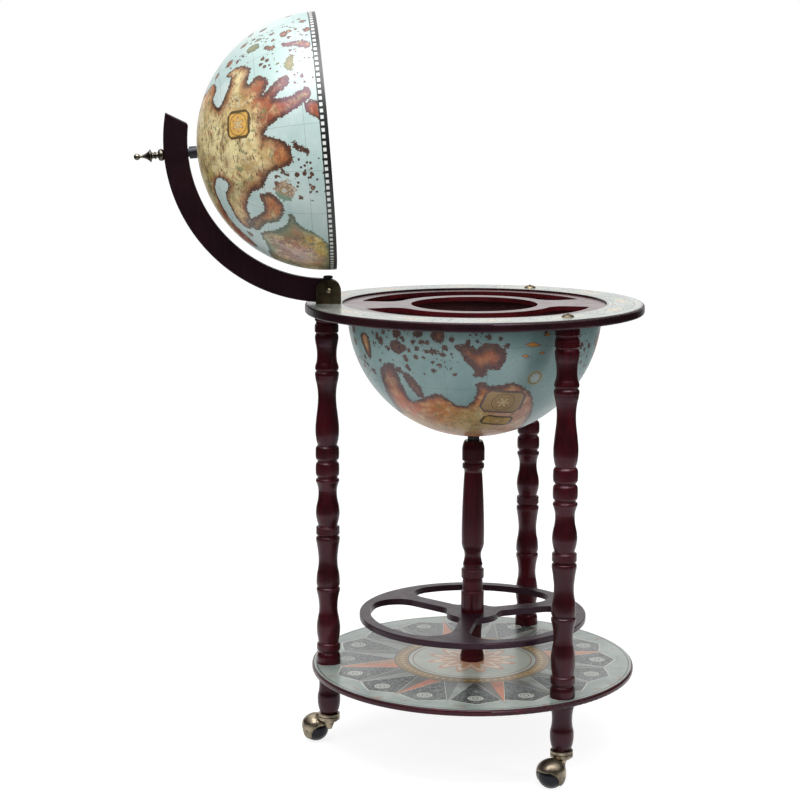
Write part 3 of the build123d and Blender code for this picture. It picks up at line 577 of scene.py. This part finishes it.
def halfGlobe(name, body, replaced, shape, toFrame, chart, mapMaterial):
    # a bowl about its own z axis, pole up, spun from one outline; materials: map, rim, inside
    bm = bmesh.new()
    outerR, innerR, rimZ = shape["r"], shape["r"] - shape["wall"], -shape["lip"]
    rows = int(outerR * math.pi / 2 / globes["mesh"])
    around = int(outerR * 2 * math.pi / globes["mesh"] / 1.3)
    outline = arc(outerR, shape["hole"], rows) + arc(innerR, shape["hole"], globes["insideRows"])[::-1]
    if rimZ < 0:
        outline = [(outerR, rimZ), *outline, (innerR, rimZ)]
    verts = [bm.verts.new((x, 0, z)) for x, z in outline]
    edges = [bm.edges.new((a, b)) for a, b in zip(verts, verts[1:] + verts[:1])]
    bmesh.ops.spin(bm, geom=verts + edges, cent=(0, 0, 0), axis=(0, 0, 1), angle=2 * math.pi, steps=around,
                   use_merge=True)
    bmesh.ops.remove_doubles(bm, verts=bm.verts, dist=1e-6)
    bmesh.ops.recalc_face_normals(bm, faces=bm.faces)
    for face in bm.faces:
        c = face.calc_center_median()
        face.smooth = True
        if c.length < (outerR + innerR) / 2 and c.z > rimZ + 1e-5:
            face.material_index = 2
        elif abs(face.normal.z) > 0.9 and c.z < rimZ + 1e-5:
            face.material_index = 1
    piece = newPiece(name, bm)
    mesh = piece.data
    points = np.empty(len(mesh.vertices) * 3)
    mesh.vertices.foreach_get("co", points)
    places = points.reshape(-1, 3)
    drawMap(mesh, places / np.linalg.norm(places, axis=1)[:, None], outerR, *chart)
    mesh.transform(toFrame)
    mesh.flip_normals()  # toFrame mirrors, which turns the faces inwards
    mesh.set_sharp_from_angle(angle=math.radians(globes["sharp"]))
    for m in (mapMaterial, rimInk, redInside):
        mesh.materials.append(m)
    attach(piece, body)
    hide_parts(replaced)


def onGlobe(r, place, radius, lon, lat, turn):
    # distances in mm from a spot on the globe, along two turned axes on its surface, and 1 on its side
    out = globePoint(lon, lat)
    east = Vector((0, 0, 1)).cross(out).normalized()
    north = out.cross(east)
    t = math.radians(turn)
    ways = (east * math.cos(t) + north * math.sin(t), north * math.cos(t) - east * math.sin(t))
    u, v = (r.times(r.vector("DOT_PRODUCT", place, tuple(way)), radius * 1000) for way in ways)
    return u, v, r.math("GREATER_THAN", r.vector("DOT_PRODUCT", place, tuple(out)), 0.5)


def panel(r, colour, spot, wide, high, field, edge):
    # a bordered panel with cut corners, and in it a hoop round a small star; sizes in mm
    u, v, near = spot
    au, av = r.absolute(u), r.absolute(v)
    flat, ink = r.combine(u, v, 0.0), srgb(70, 58, 40)
    box = r.least(r.minus(wide / 2, au), r.minus(high / 2, av))
    corners = r.minus((wide + high) * 0.41, r.plus(au, av))
    inside = r.plus(r.least(box, corners), r.wobble(flat, 0.5, 1.2, 2))
    stains = r.noise(r.combine(u, v, 3.0), 0.9, 2)
    gold = r.cover(r.mix(r.noise(flat, 0.35), *field), srgb(140, 92, 48), stains, 0.55, 0.66, 0.6)
    radial, angle = r.polar(u, v)
    petals = r.plus(0.62, r.times(r.cosine(r.times(angle, 6.0)), 0.28))
    star = r.minus(r.times(petals, high * 0.3), radial)
    gold = r.cover(gold, srgb(150, 84, 58), star, 0.0, 0.5, 0.85)
    gold = r.cover(gold, srgb(214, 196, 150), star, 1.6, 2.1, 0.85)
    hoop = r.absolute(r.minus(radial, high * 0.36))
    gold = r.line(gold, ink, hoop, 0.3, 0.7, 0.8)
    fill = r.cover(edge, gold, inside, 3.6, 4.0)
    fill = r.cover(ink, fill, inside, 0.5, 0.9)
    return r.cover(colour, fill, inside, 0.0, 0.4, 1.0, near)


def wreath(r, colour, spot, place, size):
    # a loose ring of leaves, green on one side
    u, v, near = spot
    edge = r.plus(r.minus(size, r.hypot(u, v)), r.wobble(place, 34, 20.0, 3, 0.6))
    leaves = r.cover(srgb(206, 184, 150), srgb(140, 104, 80), r.voronoi(place, 60), 0.2, 0.6)
    leaves = r.cover(leaves, srgb(104, 134, 108), u, 2.0, 9.0)
    return r.cover(colour, leaves, edge, 0.0, 1.5, 0.9, near)


def windRose(r, colour, spot, size):
    # a ringed eight-point rose
    u, v, near = spot
    radial, angle = r.polar(u, v)
    ring = r.minus(size * 0.17, r.absolute(r.minus(radial, size * 0.8)))
    tips = r.plus(0.5, r.times(r.absolute(r.cosine(r.times(angle, 4.0))), 0.5))
    points = r.minus(r.times(tips, size * 0.66), radial)
    for part, start, end, high, tone in ((ring, 0.0, 0.3, 0.75, srgb(176, 150, 78)),
                                         (ring, size * 0.09, size * 0.12, 0.8, srgb(112, 96, 58)),
                                         (points, 0.0, 0.4, 0.7, srgb(196, 206, 202))):
        colour = r.cover(colour, tone, part, start, end, high, near)
    return colour


def spindle(r, colour, spot, length, width):
    # a plain orange lozenge with a dark outline
    u, v, near = spot
    side = r.minus(width, r.plus(r.times(r.absolute(u), width / length), r.absolute(v)))
    colour = r.cover(colour, srgb(110, 66, 36), side, -0.2, 0.2, 1.0, near)
    return r.cover(colour, srgb(206, 140, 62), side, 0.5, 0.9, 1.0, near)


# each starts with its longitude, latitude and turn in degrees; sizes in mm
lidPictures = {
    "panels": ((74.5, 41, 6, 36, 38, (srgb(214, 156, 66), srgb(232, 192, 104)), srgb(98, 78, 48)),),
    "wreaths": ((109, 21, 20, 14.0),),
    "roses": ((274, 38, 12, 9), (109, 21, 12, 6)),
    "spindles": (),
}
bowlPictures = {
    "panels": ((10, 38, 8, 58, 42, (srgb(150, 128, 104), srgb(184, 152, 96)), srgb(104, 88, 84)),
               (10, 51.5, 12, 44, 24, (srgb(176, 136, 66), srgb(206, 170, 96)), srgb(70, 56, 40))),
    "wreaths": (),
    "roses": ((176, 33, 12, 10), (24, 25, 12, 11)),
    "spindles": ((20, 9, 6, 13, 3.4), (27, 5, -8, 6, 2.4), (17, 14, 14, 6, 2.4), (25, 13, 4, 5, 2.2)),
}


def decorated(r, colour, place, radius, pictures):
    for *spot, wide, high, field, edge in pictures["panels"]:
        colour = panel(r, colour, onGlobe(r, place, radius, *spot), wide, high, field, edge)
    for *spot, size in pictures["wreaths"]:
        colour = wreath(r, colour, onGlobe(r, place, radius, *spot), place, size)
    for *spot, size in pictures["roses"]:
        colour = windRose(r, colour, onGlobe(r, place, radius, *spot), size)
    for *spot, length, width in pictures["spindles"]:
        colour = spindle(r, colour, onGlobe(r, place, radius, *spot), length, width)
    return colour


def varnished(r, colour, point, grain, gloss, specular, coat, coatRough):
    # printed paper under varnish
    fibre = r.noise(point, grain, 2)
    return r.finish(colour, r.step(fibre, 0.3, 0.7, gloss, gloss + 0.1), r.bump(fibre, 0.03, 0.0002),
                    Specular_IOR_Level=specular, Coat_Weight=coat, Coat_Roughness=coatRough)


def mapPaper(name, shape, pictures):
    # an old chart: pale sea, warm lands with dark brushed coasts, hachures, rivers and a graticule
    r = Recipe(name)
    radius, fringe, mottling = shape["r"], shape["fringe"], shape["mottling"]
    place = r.attribute("place", "Vector")
    metres = r.vector("SCALE", place, scale=radius)
    paint = r.attribute("paint", "Color")
    coast = r.plus(r.attribute("coast"), r.wobble(metres, 170, 8.0, 3, 0.65))
    coast = r.plus(coast, r.times(r.minus(r.voronoi(metres, 420), 0.45), 3.4))
    # specks of islands, thickest in the clusters
    inSea = r.step(coast, -5, -3, 1.0, 0.0)
    for scale, share, size in ((120, 0.726, 0.40), (215, 0.66, 0.36)):
        chance = r.separate(r.voronoi(metres, scale, output="Color"))[0]
        wanted = r.math("LESS_THAN", chance, r.times(r.attribute("thick"), share))
        islet = r.times(r.minus(r.times(wanted, size), r.voronoi(metres, scale)), 1000 / scale)
        islet = r.minus(r.times(islet, inSea), r.times(r.minus(1.0, inSea), 9.0))
        coast = r.math("MAXIMUM", coast, islet)
    # sea
    sea = r.cover(*shape["sea"], r.noise(metres, 14, 4, 0.6), 0.35, 0.65)
    sea = r.cover(sea, shape["sea"][0], coast, -5, -0.3, 0.35)
    ripple = r.noise(r.stretched(metres, (1, 1, 3)), 520, 2)
    sea = r.cover(sea, mapColours["seaInk"], ripple, 0.58, 0.66, 0.14)
    # land: stains, hachures on the hills, drips and rivers
    stained = r.mix(1.0, paint, (0.66, 0.54, 0.42), "MULTIPLY")
    ground = r.line(paint, stained, r.noise(metres, 38, 5, 0.65), 0.36, 0.60, mottling)
    for scale, detail, roughness, start, end, share, tone in (
            (75, 3, 0.5, 0.50, 0.66, 0.7, "cream"), (95, 3, 0.6, 0.56, 0.66, 0.75, "olive"),
            (85, 4, 0.7, 0.59, 0.68, 0.7, "rust")):
        spots = r.noise(metres, scale, detail, roughness)
        ground = r.cover(ground, mapColours[tone], spots, start, end, share * mottling)
    hatch = r.noise(r.stretched(metres, (0.45, 1, 1.6)), 360, 2, 0.6)
    hills = r.step(r.noise(r.stretched(metres, (1.5, 1, 1)), 52), 0.47, 0.56)
    ground = r.cover(ground, mapColours["hillInk"], hatch, 0.53, 0.60, 0.9 * mottling, hills)
    drips = r.noise(r.stretched(metres, (0.45, 1, 1)), 140, 3, 0.6)
    ground = r.cover(ground, mapColours["dripInk"], drips, 0.57, 0.66, 0.7 * mottling)
    warped = r.vector("ADD", metres, r.vector("SCALE", r.noise(metres, 60, output=1), scale=0.012))
    river = r.voronoi(warped, 22, "DISTANCE_TO_EDGE")
    ground = r.line(ground, mapColours["river"], river, 0.006, 0.016, 0.5)
    # dark brushed shading inside every coast, here wide and there narrow, warmer where it fades inland
    width = r.step(r.noise(metres, 11, 2), 0.38, 0.62, 0.55 * fringe, 1.5 * fringe)
    shade = r.math("DIVIDE", r.plus(coast, r.wobble(metres, 75, 5.0 * fringe, 3, 0.6)), width)
    shore = r.attribute("shore", "Color")
    warm = r.mix(0.4, r.attribute("fade", "Color"), shore)
    ground = r.line(ground, warm, shade, 4.0, 13.0, 0.65)
    brush = r.step(r.noise(metres, 260, 3, 0.6), 0.3, 0.7, 0.75, 1.0)
    ground = r.line(ground, shore, shade, 1.8, 6.5, 0.97, brush)
    colour = r.cover(sea, ground, coast, -0.15, 0.15)
    # graticule every 20 degrees
    x, y, z = r.separate(place)
    lon = r.plus(r.math("DEGREES", r.math("ARCTAN2", y, x)), 360)
    rise = r.math("ARCSINE", z)
    lonGap = r.times(r.math("PINGPONG", lon, 10), r.cosine(rise))
    latGap = r.math("PINGPONG", r.plus(r.math("DEGREES", rise), 90), 10)
    colour = r.line(colour, mapColours["lineInk"], r.least(lonGap, latGap), 0.05, 0.13, 0.5)
    colour = decorated(r, colour, place, radius, pictures)
    if shape["band"]:
        # rim: black line, white dashes, black edge; widths in mm up from the rim, 132 dashes round it
        up = r.times(rise, radius * 1000)
        dash, row = r.math("PINGPONG", lon, 180 / 132), r.between(up, 4.3, 8.3, 0.2)
        band = r.cover((0.008, 0.008, 0.009), srgb(226, 230, 226), dash, 0.54, 0.62, 1.0, row)
        colour = r.line(colour, band, up, 10.0, 10.2)
    return varnished(r, colour, metres, 700, 0.42, 0.35, 0.4, 0.3)


def plainShell(name, dark, light, rough):
    r = Recipe(name)
    point = r.objectPoint()
    colour = r.mix(r.noise(point, 30, 4, 0.6), dark, light)
    fine = r.noise(point, 500)
    return r.finish(colour, r.step(fine, 0.3, 0.7, rough - 0.08, rough + 0.08), r.bump(fine, 0.08, 0.0003))


def ownAxes(centre, x, y, z):
    # from a half globe's own axes, z at its pole, to the model's
    return Matrix.Translation(centre) @ Matrix((x, y, z)).transposed().to_4x4()


rimInk = plainShell("rim ink", (0.006, 0.006, 0.007), (0.012, 0.012, 0.013), 0.4)
redInside = plainShell("red inside", srgb(36, 6, 9), srgb(56, 10, 13), 0.42)
lidJoint = next(j for j in frame["joints"] if j["name"] == "lid_spin")
lidPole = Vector(lidJoint["axis"]).normalized()
halfGlobe("lidGlobe", "lid", "lid_shell", globes["lid"],
          ownAxes(Vector(lidJoint["pos_m"]), (lidPole.z, 0, -lidPole.x), (0, -1, 0), lidPole),
          (lidLands, lidIslands, lidTints, lidShores, lidClusters),
          mapPaper("lid map", globes["lid"], lidPictures))
halfGlobe("bowlGlobe", "stand", "bowl_shell", globes["bowl"],
          ownAxes(Vector(globes["bowl"]["centre"]), (0, -1, 0), (1, 0, 0), (0, 0, -1)),
          (bowlLands, bowlIslands, bowlTints, bowlShores, bowlClusters),
          mapPaper("bowl map", globes["bowl"], bowlPictures))
print("half globes drawn")


def spokeAngle(r, angle, count, turn=0.0):
    # the angle from the nearest of count spokes, in radians
    return r.math("PINGPONG", r.plus(angle, 8 * math.pi - turn), math.pi / count)


def rayEdge(r, radial, folded, inner, outer, halfAngle):
    # metres inside a pointed ray: its base corners at inner, halfAngle off its spoke, and its tip at outer
    s, c = math.sin(halfAngle), math.cos(halfAngle)
    length = math.hypot(outer - inner * c, inner * s)
    a, b = inner * s / length, (outer - inner * c) / length
    x, y = (r.times(radial, r.math(way, folded)) for way in ("COSINE", "SINE"))
    return r.minus(outer * a, r.plus(r.times(x, a), r.times(y, b)))


def circles(r, colour, radial, radii, start, end, strength, ink):
    for radius in radii:
        colour = r.line(colour, ink, r.absolute(r.minus(radial, radius)), start, end, strength)
    return colour


shelfPrint = {  # metres
    "turn": 6.5,  # degrees
    "paper": (srgb(134, 148, 143), srgb(164, 174, 167)),
    "middleTone": (srgb(158, 166, 156), srgb(182, 186, 174)),
    "bronze": (srgb(112, 90, 60), srgb(164, 138, 96)),
    "bead": srgb(196, 172, 128),
    "lace": (srgb(54, 59, 59), srgb(150, 156, 152)),
    "bloom": srgb(126, 134, 130),  # what dulls the lace in clouds
    "speck": srgb(150, 104, 80),
    "rayStain": srgb(120, 84, 70),
    "line": srgb(204, 206, 196),
    "ink": srgb(64, 66, 68),
    "laceTo": 0.196,
    "laceSlope": 0.45,
    "flowerAt": 0.171,
    "hoops": (0.0090, 0.0056),
    "specksFrom": 0.199,
    "rayFrom": 0.105,
    "rayTo": 0.193,
    "rayHalf": 11.25,  # degrees
    "rays": (  # how many, turn in degrees, left colour, right colour
        (16, 0.0, srgb(104, 112, 109), srgb(146, 155, 149)),
        (2, 0.0, srgb(176, 130, 102), srgb(200, 126, 90)),
        (2, 90.0, srgb(104, 106, 100), srgb(200, 122, 86)),
        (1, -135.0, srgb(104, 106, 100), srgb(196, 120, 88)),
    ),
    "middleTo": 0.0875,
    "ringTo": 0.1055,
    "beadsAt": 0.0955,
    "beadCount": 60,
    "rosette": (0.052, 0.010),  # middle radius of its outline, and how far that swings
    "rosetteBands": ((0.0, 0.0006, 0.75, srgb(196, 132, 98)), (0.0075, 0.008, 0.8, srgb(212, 204, 184)),
                     (0.018, 0.0186, 0.8, srgb(190, 134, 100))),
    "middleLine": 0.081,
    "middleInk": srgb(120, 90, 66),
    "circles": (0.0875, 0.1058, 0.2130),
}


def shelfPaper(look):
    r = Recipe("shelf paper")
    point = r.objectPoint(look["turn"])
    radial, angle = r.polar(*r.separate(point)[:2])
    wash = r.noise(point, 16, 4, 0.6)
    colour = r.cover(*look["paper"], wash, 0.35, 0.65)
    # dark lace between the rays, closed by a white outline
    across = r.times(spokeAngle(r, angle, 16, math.pi / 16), radial)
    closed = r.minus(r.minus(look["laceTo"], r.times(across, look["laceSlope"])), radial)
    lace = r.line(*look["lace"], r.voronoi(point, 130, "DISTANCE_TO_EDGE"), 0.03, 0.07, 0.6)
    flower = r.hypot(r.minus(radial, look["flowerAt"]), across)
    hoop = r.least(*(r.absolute(r.minus(flower, size)) for size in look["hoops"]))
    for part, start, end, strength in ((hoop, 0.0009, 0.0014, 0.85), (flower, 0.0024, 0.0030, 0.8),
                                       (r.absolute(closed), 0.0010, 0.0015, 0.95)):
        lace = r.line(lace, look["line"], part, start, end, strength)
    lace = r.cover(lace, look["bloom"], r.noise(point, 22), 0.4, 0.7, 0.4)
    colour = r.cover(colour, lace, closed, -0.0012, -0.0008)
    margin = r.step(radial, look["specksFrom"], look["specksFrom"] + 0.002)
    colour = r.cover(colour, look["speck"], r.noise(point, 60, 2), 0.60, 0.64, 0.6, margin)
    inner, outer, half = look["rayFrom"], look["rayTo"], math.radians(look["rayHalf"])
    for count, turn, left, right in look["rays"]:
        turn = math.radians(turn)
        folded = spokeAngle(r, angle, count, turn)
        edge = rayEdge(r, radial, folded, inner, outer, half)
        shifted = r.plus(angle, 8 * math.pi - turn + math.pi / count)
        side = r.math("GREATER_THAN", r.math("MODULO", shifted, 2 * math.pi / count), math.pi / count)
        fill = r.cover(r.mix(side, left, right), look["rayStain"], r.noise(point, 90), 0.4, 0.7, 0.3)
        fill = r.line(fill, look["line"], edge, 0.0010, 0.0015)
        fill = r.line(fill, look["ink"], edge, 0.0004, 0.0007)
        # folded is small only on the ray's own side
        outside = r.times(r.step(radial, inner * 0.97, inner * 0.98), r.math("LESS_THAN", folded, 1.0))
        colour = r.cover(colour, fill, edge, 0.0, 0.0003, 1.0, outside)
    # medallion: bronze ring round a pale middle with a plain rosette
    ringAcross = r.times(spokeAngle(r, angle, look["beadCount"]), radial)
    beads = r.minus(0.0032, r.hypot(r.minus(radial, look["beadsAt"]), ringAcross))
    bronze = r.cover(r.mix(r.noise(point, 120, 4), *look["bronze"]), look["bead"], beads, 0.0, 0.0006, 0.6)
    middle = r.cover(*look["middleTone"], wash, 0.3, 0.7)
    size, swing = look["rosette"]
    rosette = r.minus(r.plus(size, r.times(r.cosine(r.times(angle, 12.0)), swing)), radial)
    for start, end, strength, tone in look["rosetteBands"]:
        middle = r.cover(middle, tone, rosette, start, end, strength)
    middle = circles(r, middle, radial, (look["middleLine"],), 0.0007, 0.0012, 0.8, look["middleInk"])
    middleTo = look["middleTo"]
    colour = r.line(colour, middle, radial, middleTo, middleTo + 0.0005)
    colour = r.mix(r.between(radial, middleTo, look["ringTo"], 0.0005), colour, bronze)
    colour = circles(r, colour, radial, look["circles"], 0.0006, 0.0011, 0.9, look["ink"])
    return varnished(r, colour, point, 600, 0.3, 0.4, 0.4, 0.2)


tablePrint = {  # metres
    "paper": (srgb(162, 172, 166), srgb(190, 193, 183)),
    "ink": srgb(70, 76, 74),
    "scrollInk": srgb(92, 108, 104),
    "scales": ((180, 0.2165, 0.2205), (72, 0.2125, 0.2205), (180, 0.1785, 0.1820)),  # ticks, from, to
    "panels": 12,
    "panelFrom": 0.184,
    "panelTo": 0.2105,
    "starAt": 0.1973,
    "lozenge": (0.012, 0.32),  # half its height, and that over half its width
    "lozengeBands": ((0.0, 0.0004, 0.8, srgb(108, 132, 128)), (0.0018, 0.0022, 0.9, srgb(196, 190, 164))),
    "disc": 0.0072,
    "discBands": ((0.0, 0.0004, 0.85, srgb(176, 108, 76)), (0.0026, 0.003, 0.9, srgb(222, 208, 168))),
    "circles": (0.1775, 0.1830, 0.2115, 0.2212),
}


def tablePaper(look):
    r = Recipe("table paper")
    point = r.objectPoint()
    radial, angle = r.polar(*r.separate(point)[:2])
    colour = r.cover(*look["paper"], r.noise(point, 20, 4, 0.6), 0.35, 0.65)
    # scale of degrees along both edges
    for count, low, high in look["scales"]:
        ticks = r.times(spokeAngle(r, angle, count), radial)
        colour = r.line(colour, look["ink"], ticks, 0.0003, 0.0006, 0.8, r.between(radial, low, high))
    # panels, each with a disc in a lozenge
    across = r.times(spokeAngle(r, angle, look["panels"]), radial)
    side = r.times(spokeAngle(r, angle, look["panels"], math.pi / look["panels"]), radial)
    inPanels = r.between(radial, look["panelFrom"], look["panelTo"])
    colour = r.line(colour, look["ink"], side, 0.0010, 0.0015, 0.8, inPanels)
    high = r.absolute(r.minus(radial, look["starAt"]))
    size, slope = look["lozenge"]
    lozenge = r.minus(size, r.plus(high, r.times(across, slope)))
    disc = r.minus(look["disc"], r.hypot(high, across))
    for part, bands in ((lozenge, look["lozengeBands"]), (disc, look["discBands"])):
        for start, end, strength, tone in bands:
            colour = r.cover(colour, tone, part, start, end, strength)
    scroll = r.voronoi(point, 120, "DISTANCE_TO_EDGE")
    beside = r.times(inPanels, r.step(lozenge, -0.001, 0.0, 1.0, 0.0))
    colour = r.line(colour, look["scrollInk"], scroll, 0.03, 0.08, 0.85, beside)
    colour = circles(r, colour, radial, look["circles"], 0.0005, 0.0009, 0.85, look["ink"])
    return varnished(r, colour, point, 600, 0.3, 0.4, 0.5, 0.16)


finishes["shelfPaper"] = shelfPaper(shelfPrint)
finishes["tablePaper"] = tablePaper(tablePrint)
dress("shelfPaper", "shelf_print")
dress("tablePaper", "ring_print")
print("papers printed")


studio = {
    "floorSide": 60.0,
    "floorMatt": (0.34, 0.34, 0.34, 1),
    "floorOwnLight": 0.84,  # what the floor shows by itself, so that it meets the white behind it
    "worldOnObject": 0.58,
    # a dark screen round the front, which only reflections see
    "curtain": {"from": 1.35, "radius": 4.2, "low": 0.003, "height": 3.3, "sweep": 290, "steps": 48,
                "tone": (0.03, 0.03, 0.03, 1)},
    "lamps": {  # place, width, depth, watts, looks at, shows in the gloss, lights the surface
        "overhead": ((-0.2, -1.4, 2.9), 2.6, 0.3, 36, (0, 0, 0.5), False, True),
        "softbox": ((-0.2, -0.9, 2.9), 2.6, 1.7, 115, (0, 0, 0.5), True, False),
        "behind": ((-0.2, 1.2, 2.9), 2.6, 1.0, 12, (0, 0, 0.5), True, True),
        "left": ((-2.6, -2.4, 1.6), 1.4, 1.6, 36, (0, 0, 0.7), False, True),
        "right": ((2.7, -1.8, 1.6), 0.7, 1.8, 20, (0, 0, 0.5), False, True),
    },
    "camera": {"place": (-0.2814, -2.5315, 0.900), "down": 9.46, "turn": -4.12, "lens": 86.63},
}
pureWhite = (1, 1, 1, 1)


def blankTree(owner):
    owner.use_nodes = True
    owner.node_tree.nodes.clear()
    return owner.node_tree


def isSeen(tree):
    # 1 for rays from the camera and for the ones that metal and glass show
    paths = tree.nodes.new("ShaderNodeLightPath").outputs
    total = paths["Is Camera Ray"]
    for name in ("Is Glossy Ray", "Is Transmission Ray"):
        total = addNode(tree, "ShaderNodeMath", (total, paths[name]), operation="MAXIMUM").outputs[0]
    return total


def shaderOf(tree, kind, *inputs):
    return addNode(tree, f"ShaderNode{kind}", inputs).outputs[0]


def stageTree(piece):
    material = bpy.data.materials.new(piece.name)
    piece.data.materials.append(material)
    return blankTree(material)


world = bpy.data.worlds.new("studio")
bpy.context.scene.world = world
tree = blankTree(world)
lit = shaderOf(tree, "Background", pureWhite, studio["worldOnObject"])
white = shaderOf(tree, "Background", pureWhite, 1.0)
addNode(tree, "ShaderNodeOutputWorld", (shaderOf(tree, "MixShader", isSeen(tree), lit, white),))

bm = bmesh.new()
bmesh.ops.create_grid(bm, x_segments=1, y_segments=1, size=studio["floorSide"] / 2)
floor = newPiece("floor", bm)
tree = stageTree(floor)
glowing = (isSeen(tree), studio["floorOwnLight"])
share = addNode(tree, "ShaderNodeMath", glowing, operation="MULTIPLY").outputs[0]
matt = shaderOf(tree, "BsdfDiffuse", studio["floorMatt"])
glow = shaderOf(tree, "Emission", pureWhite, share)
addNode(tree, "ShaderNodeOutputMaterial", (shaderOf(tree, "AddShader", matt, glow),))

shape = studio["curtain"]
bm = bmesh.new()
profile = [bm.verts.new((x, 0, z)) for x, z in (
    (shape["from"], shape["low"]), (shape["radius"], shape["low"]), (shape["radius"], shape["height"]))]
edges = [bm.edges.new(profile[0:2]), bm.edges.new(profile[1:3])]
turn = Matrix.Rotation(math.radians(-90 - shape["sweep"] / 2), 3, "Z")
bmesh.ops.rotate(bm, verts=profile, cent=(0, 0, 0), matrix=turn)
bmesh.ops.spin(bm, geom=profile + edges, cent=(0, 0, 0), axis=(0, 0, 1), steps=shape["steps"],
               angle=math.radians(shape["sweep"]))
curtain = newPiece("curtain", bm)
for sight in ("camera", "diffuse", "transmission", "volume_scatter", "shadow"):
    setattr(curtain, f"visible_{sight}", False)
tree = stageTree(curtain)
addNode(tree, "ShaderNodeOutputMaterial", (shaderOf(tree, "BsdfDiffuse", shape["tone"]),))

for name, (place, width, depth, watts, target, inGloss, onSurface) in studio["lamps"].items():
    lamp = bpy.data.lights.new(name, "AREA")
    lamp.shape = "RECTANGLE"
    lamp.size, lamp.size_y = width, depth
    lamp.energy = watts
    holder = bpy.data.objects.new(name, lamp)
    holder.location = place
    holder.rotation_euler = (Vector(target) - Vector(place)).to_track_quat("-Z", "Y").to_euler()
    holder.visible_glossy, holder.visible_diffuse = inGloss, onSurface
    bpy.context.scene.collection.objects.link(holder)

view = studio["camera"]
camera = bpy.data.objects.new("camera", bpy.data.cameras.new("camera"))
camera.location = view["place"]
camera.rotation_euler = (math.radians(90 - view["down"]), 0, math.radians(view["turn"]))
camera.data.lens = view["lens"]
camera.data.sensor_width = 36.0
camera.data.sensor_fit = "HORIZONTAL"
camera.data.clip_start = 0.05
camera.data.clip_end = 60
bpy.context.scene.collection.objects.link(camera)
bpy.context.scene.camera = camera
bpy.context.scene.view_settings.view_transform = "Standard"
print("studio set")
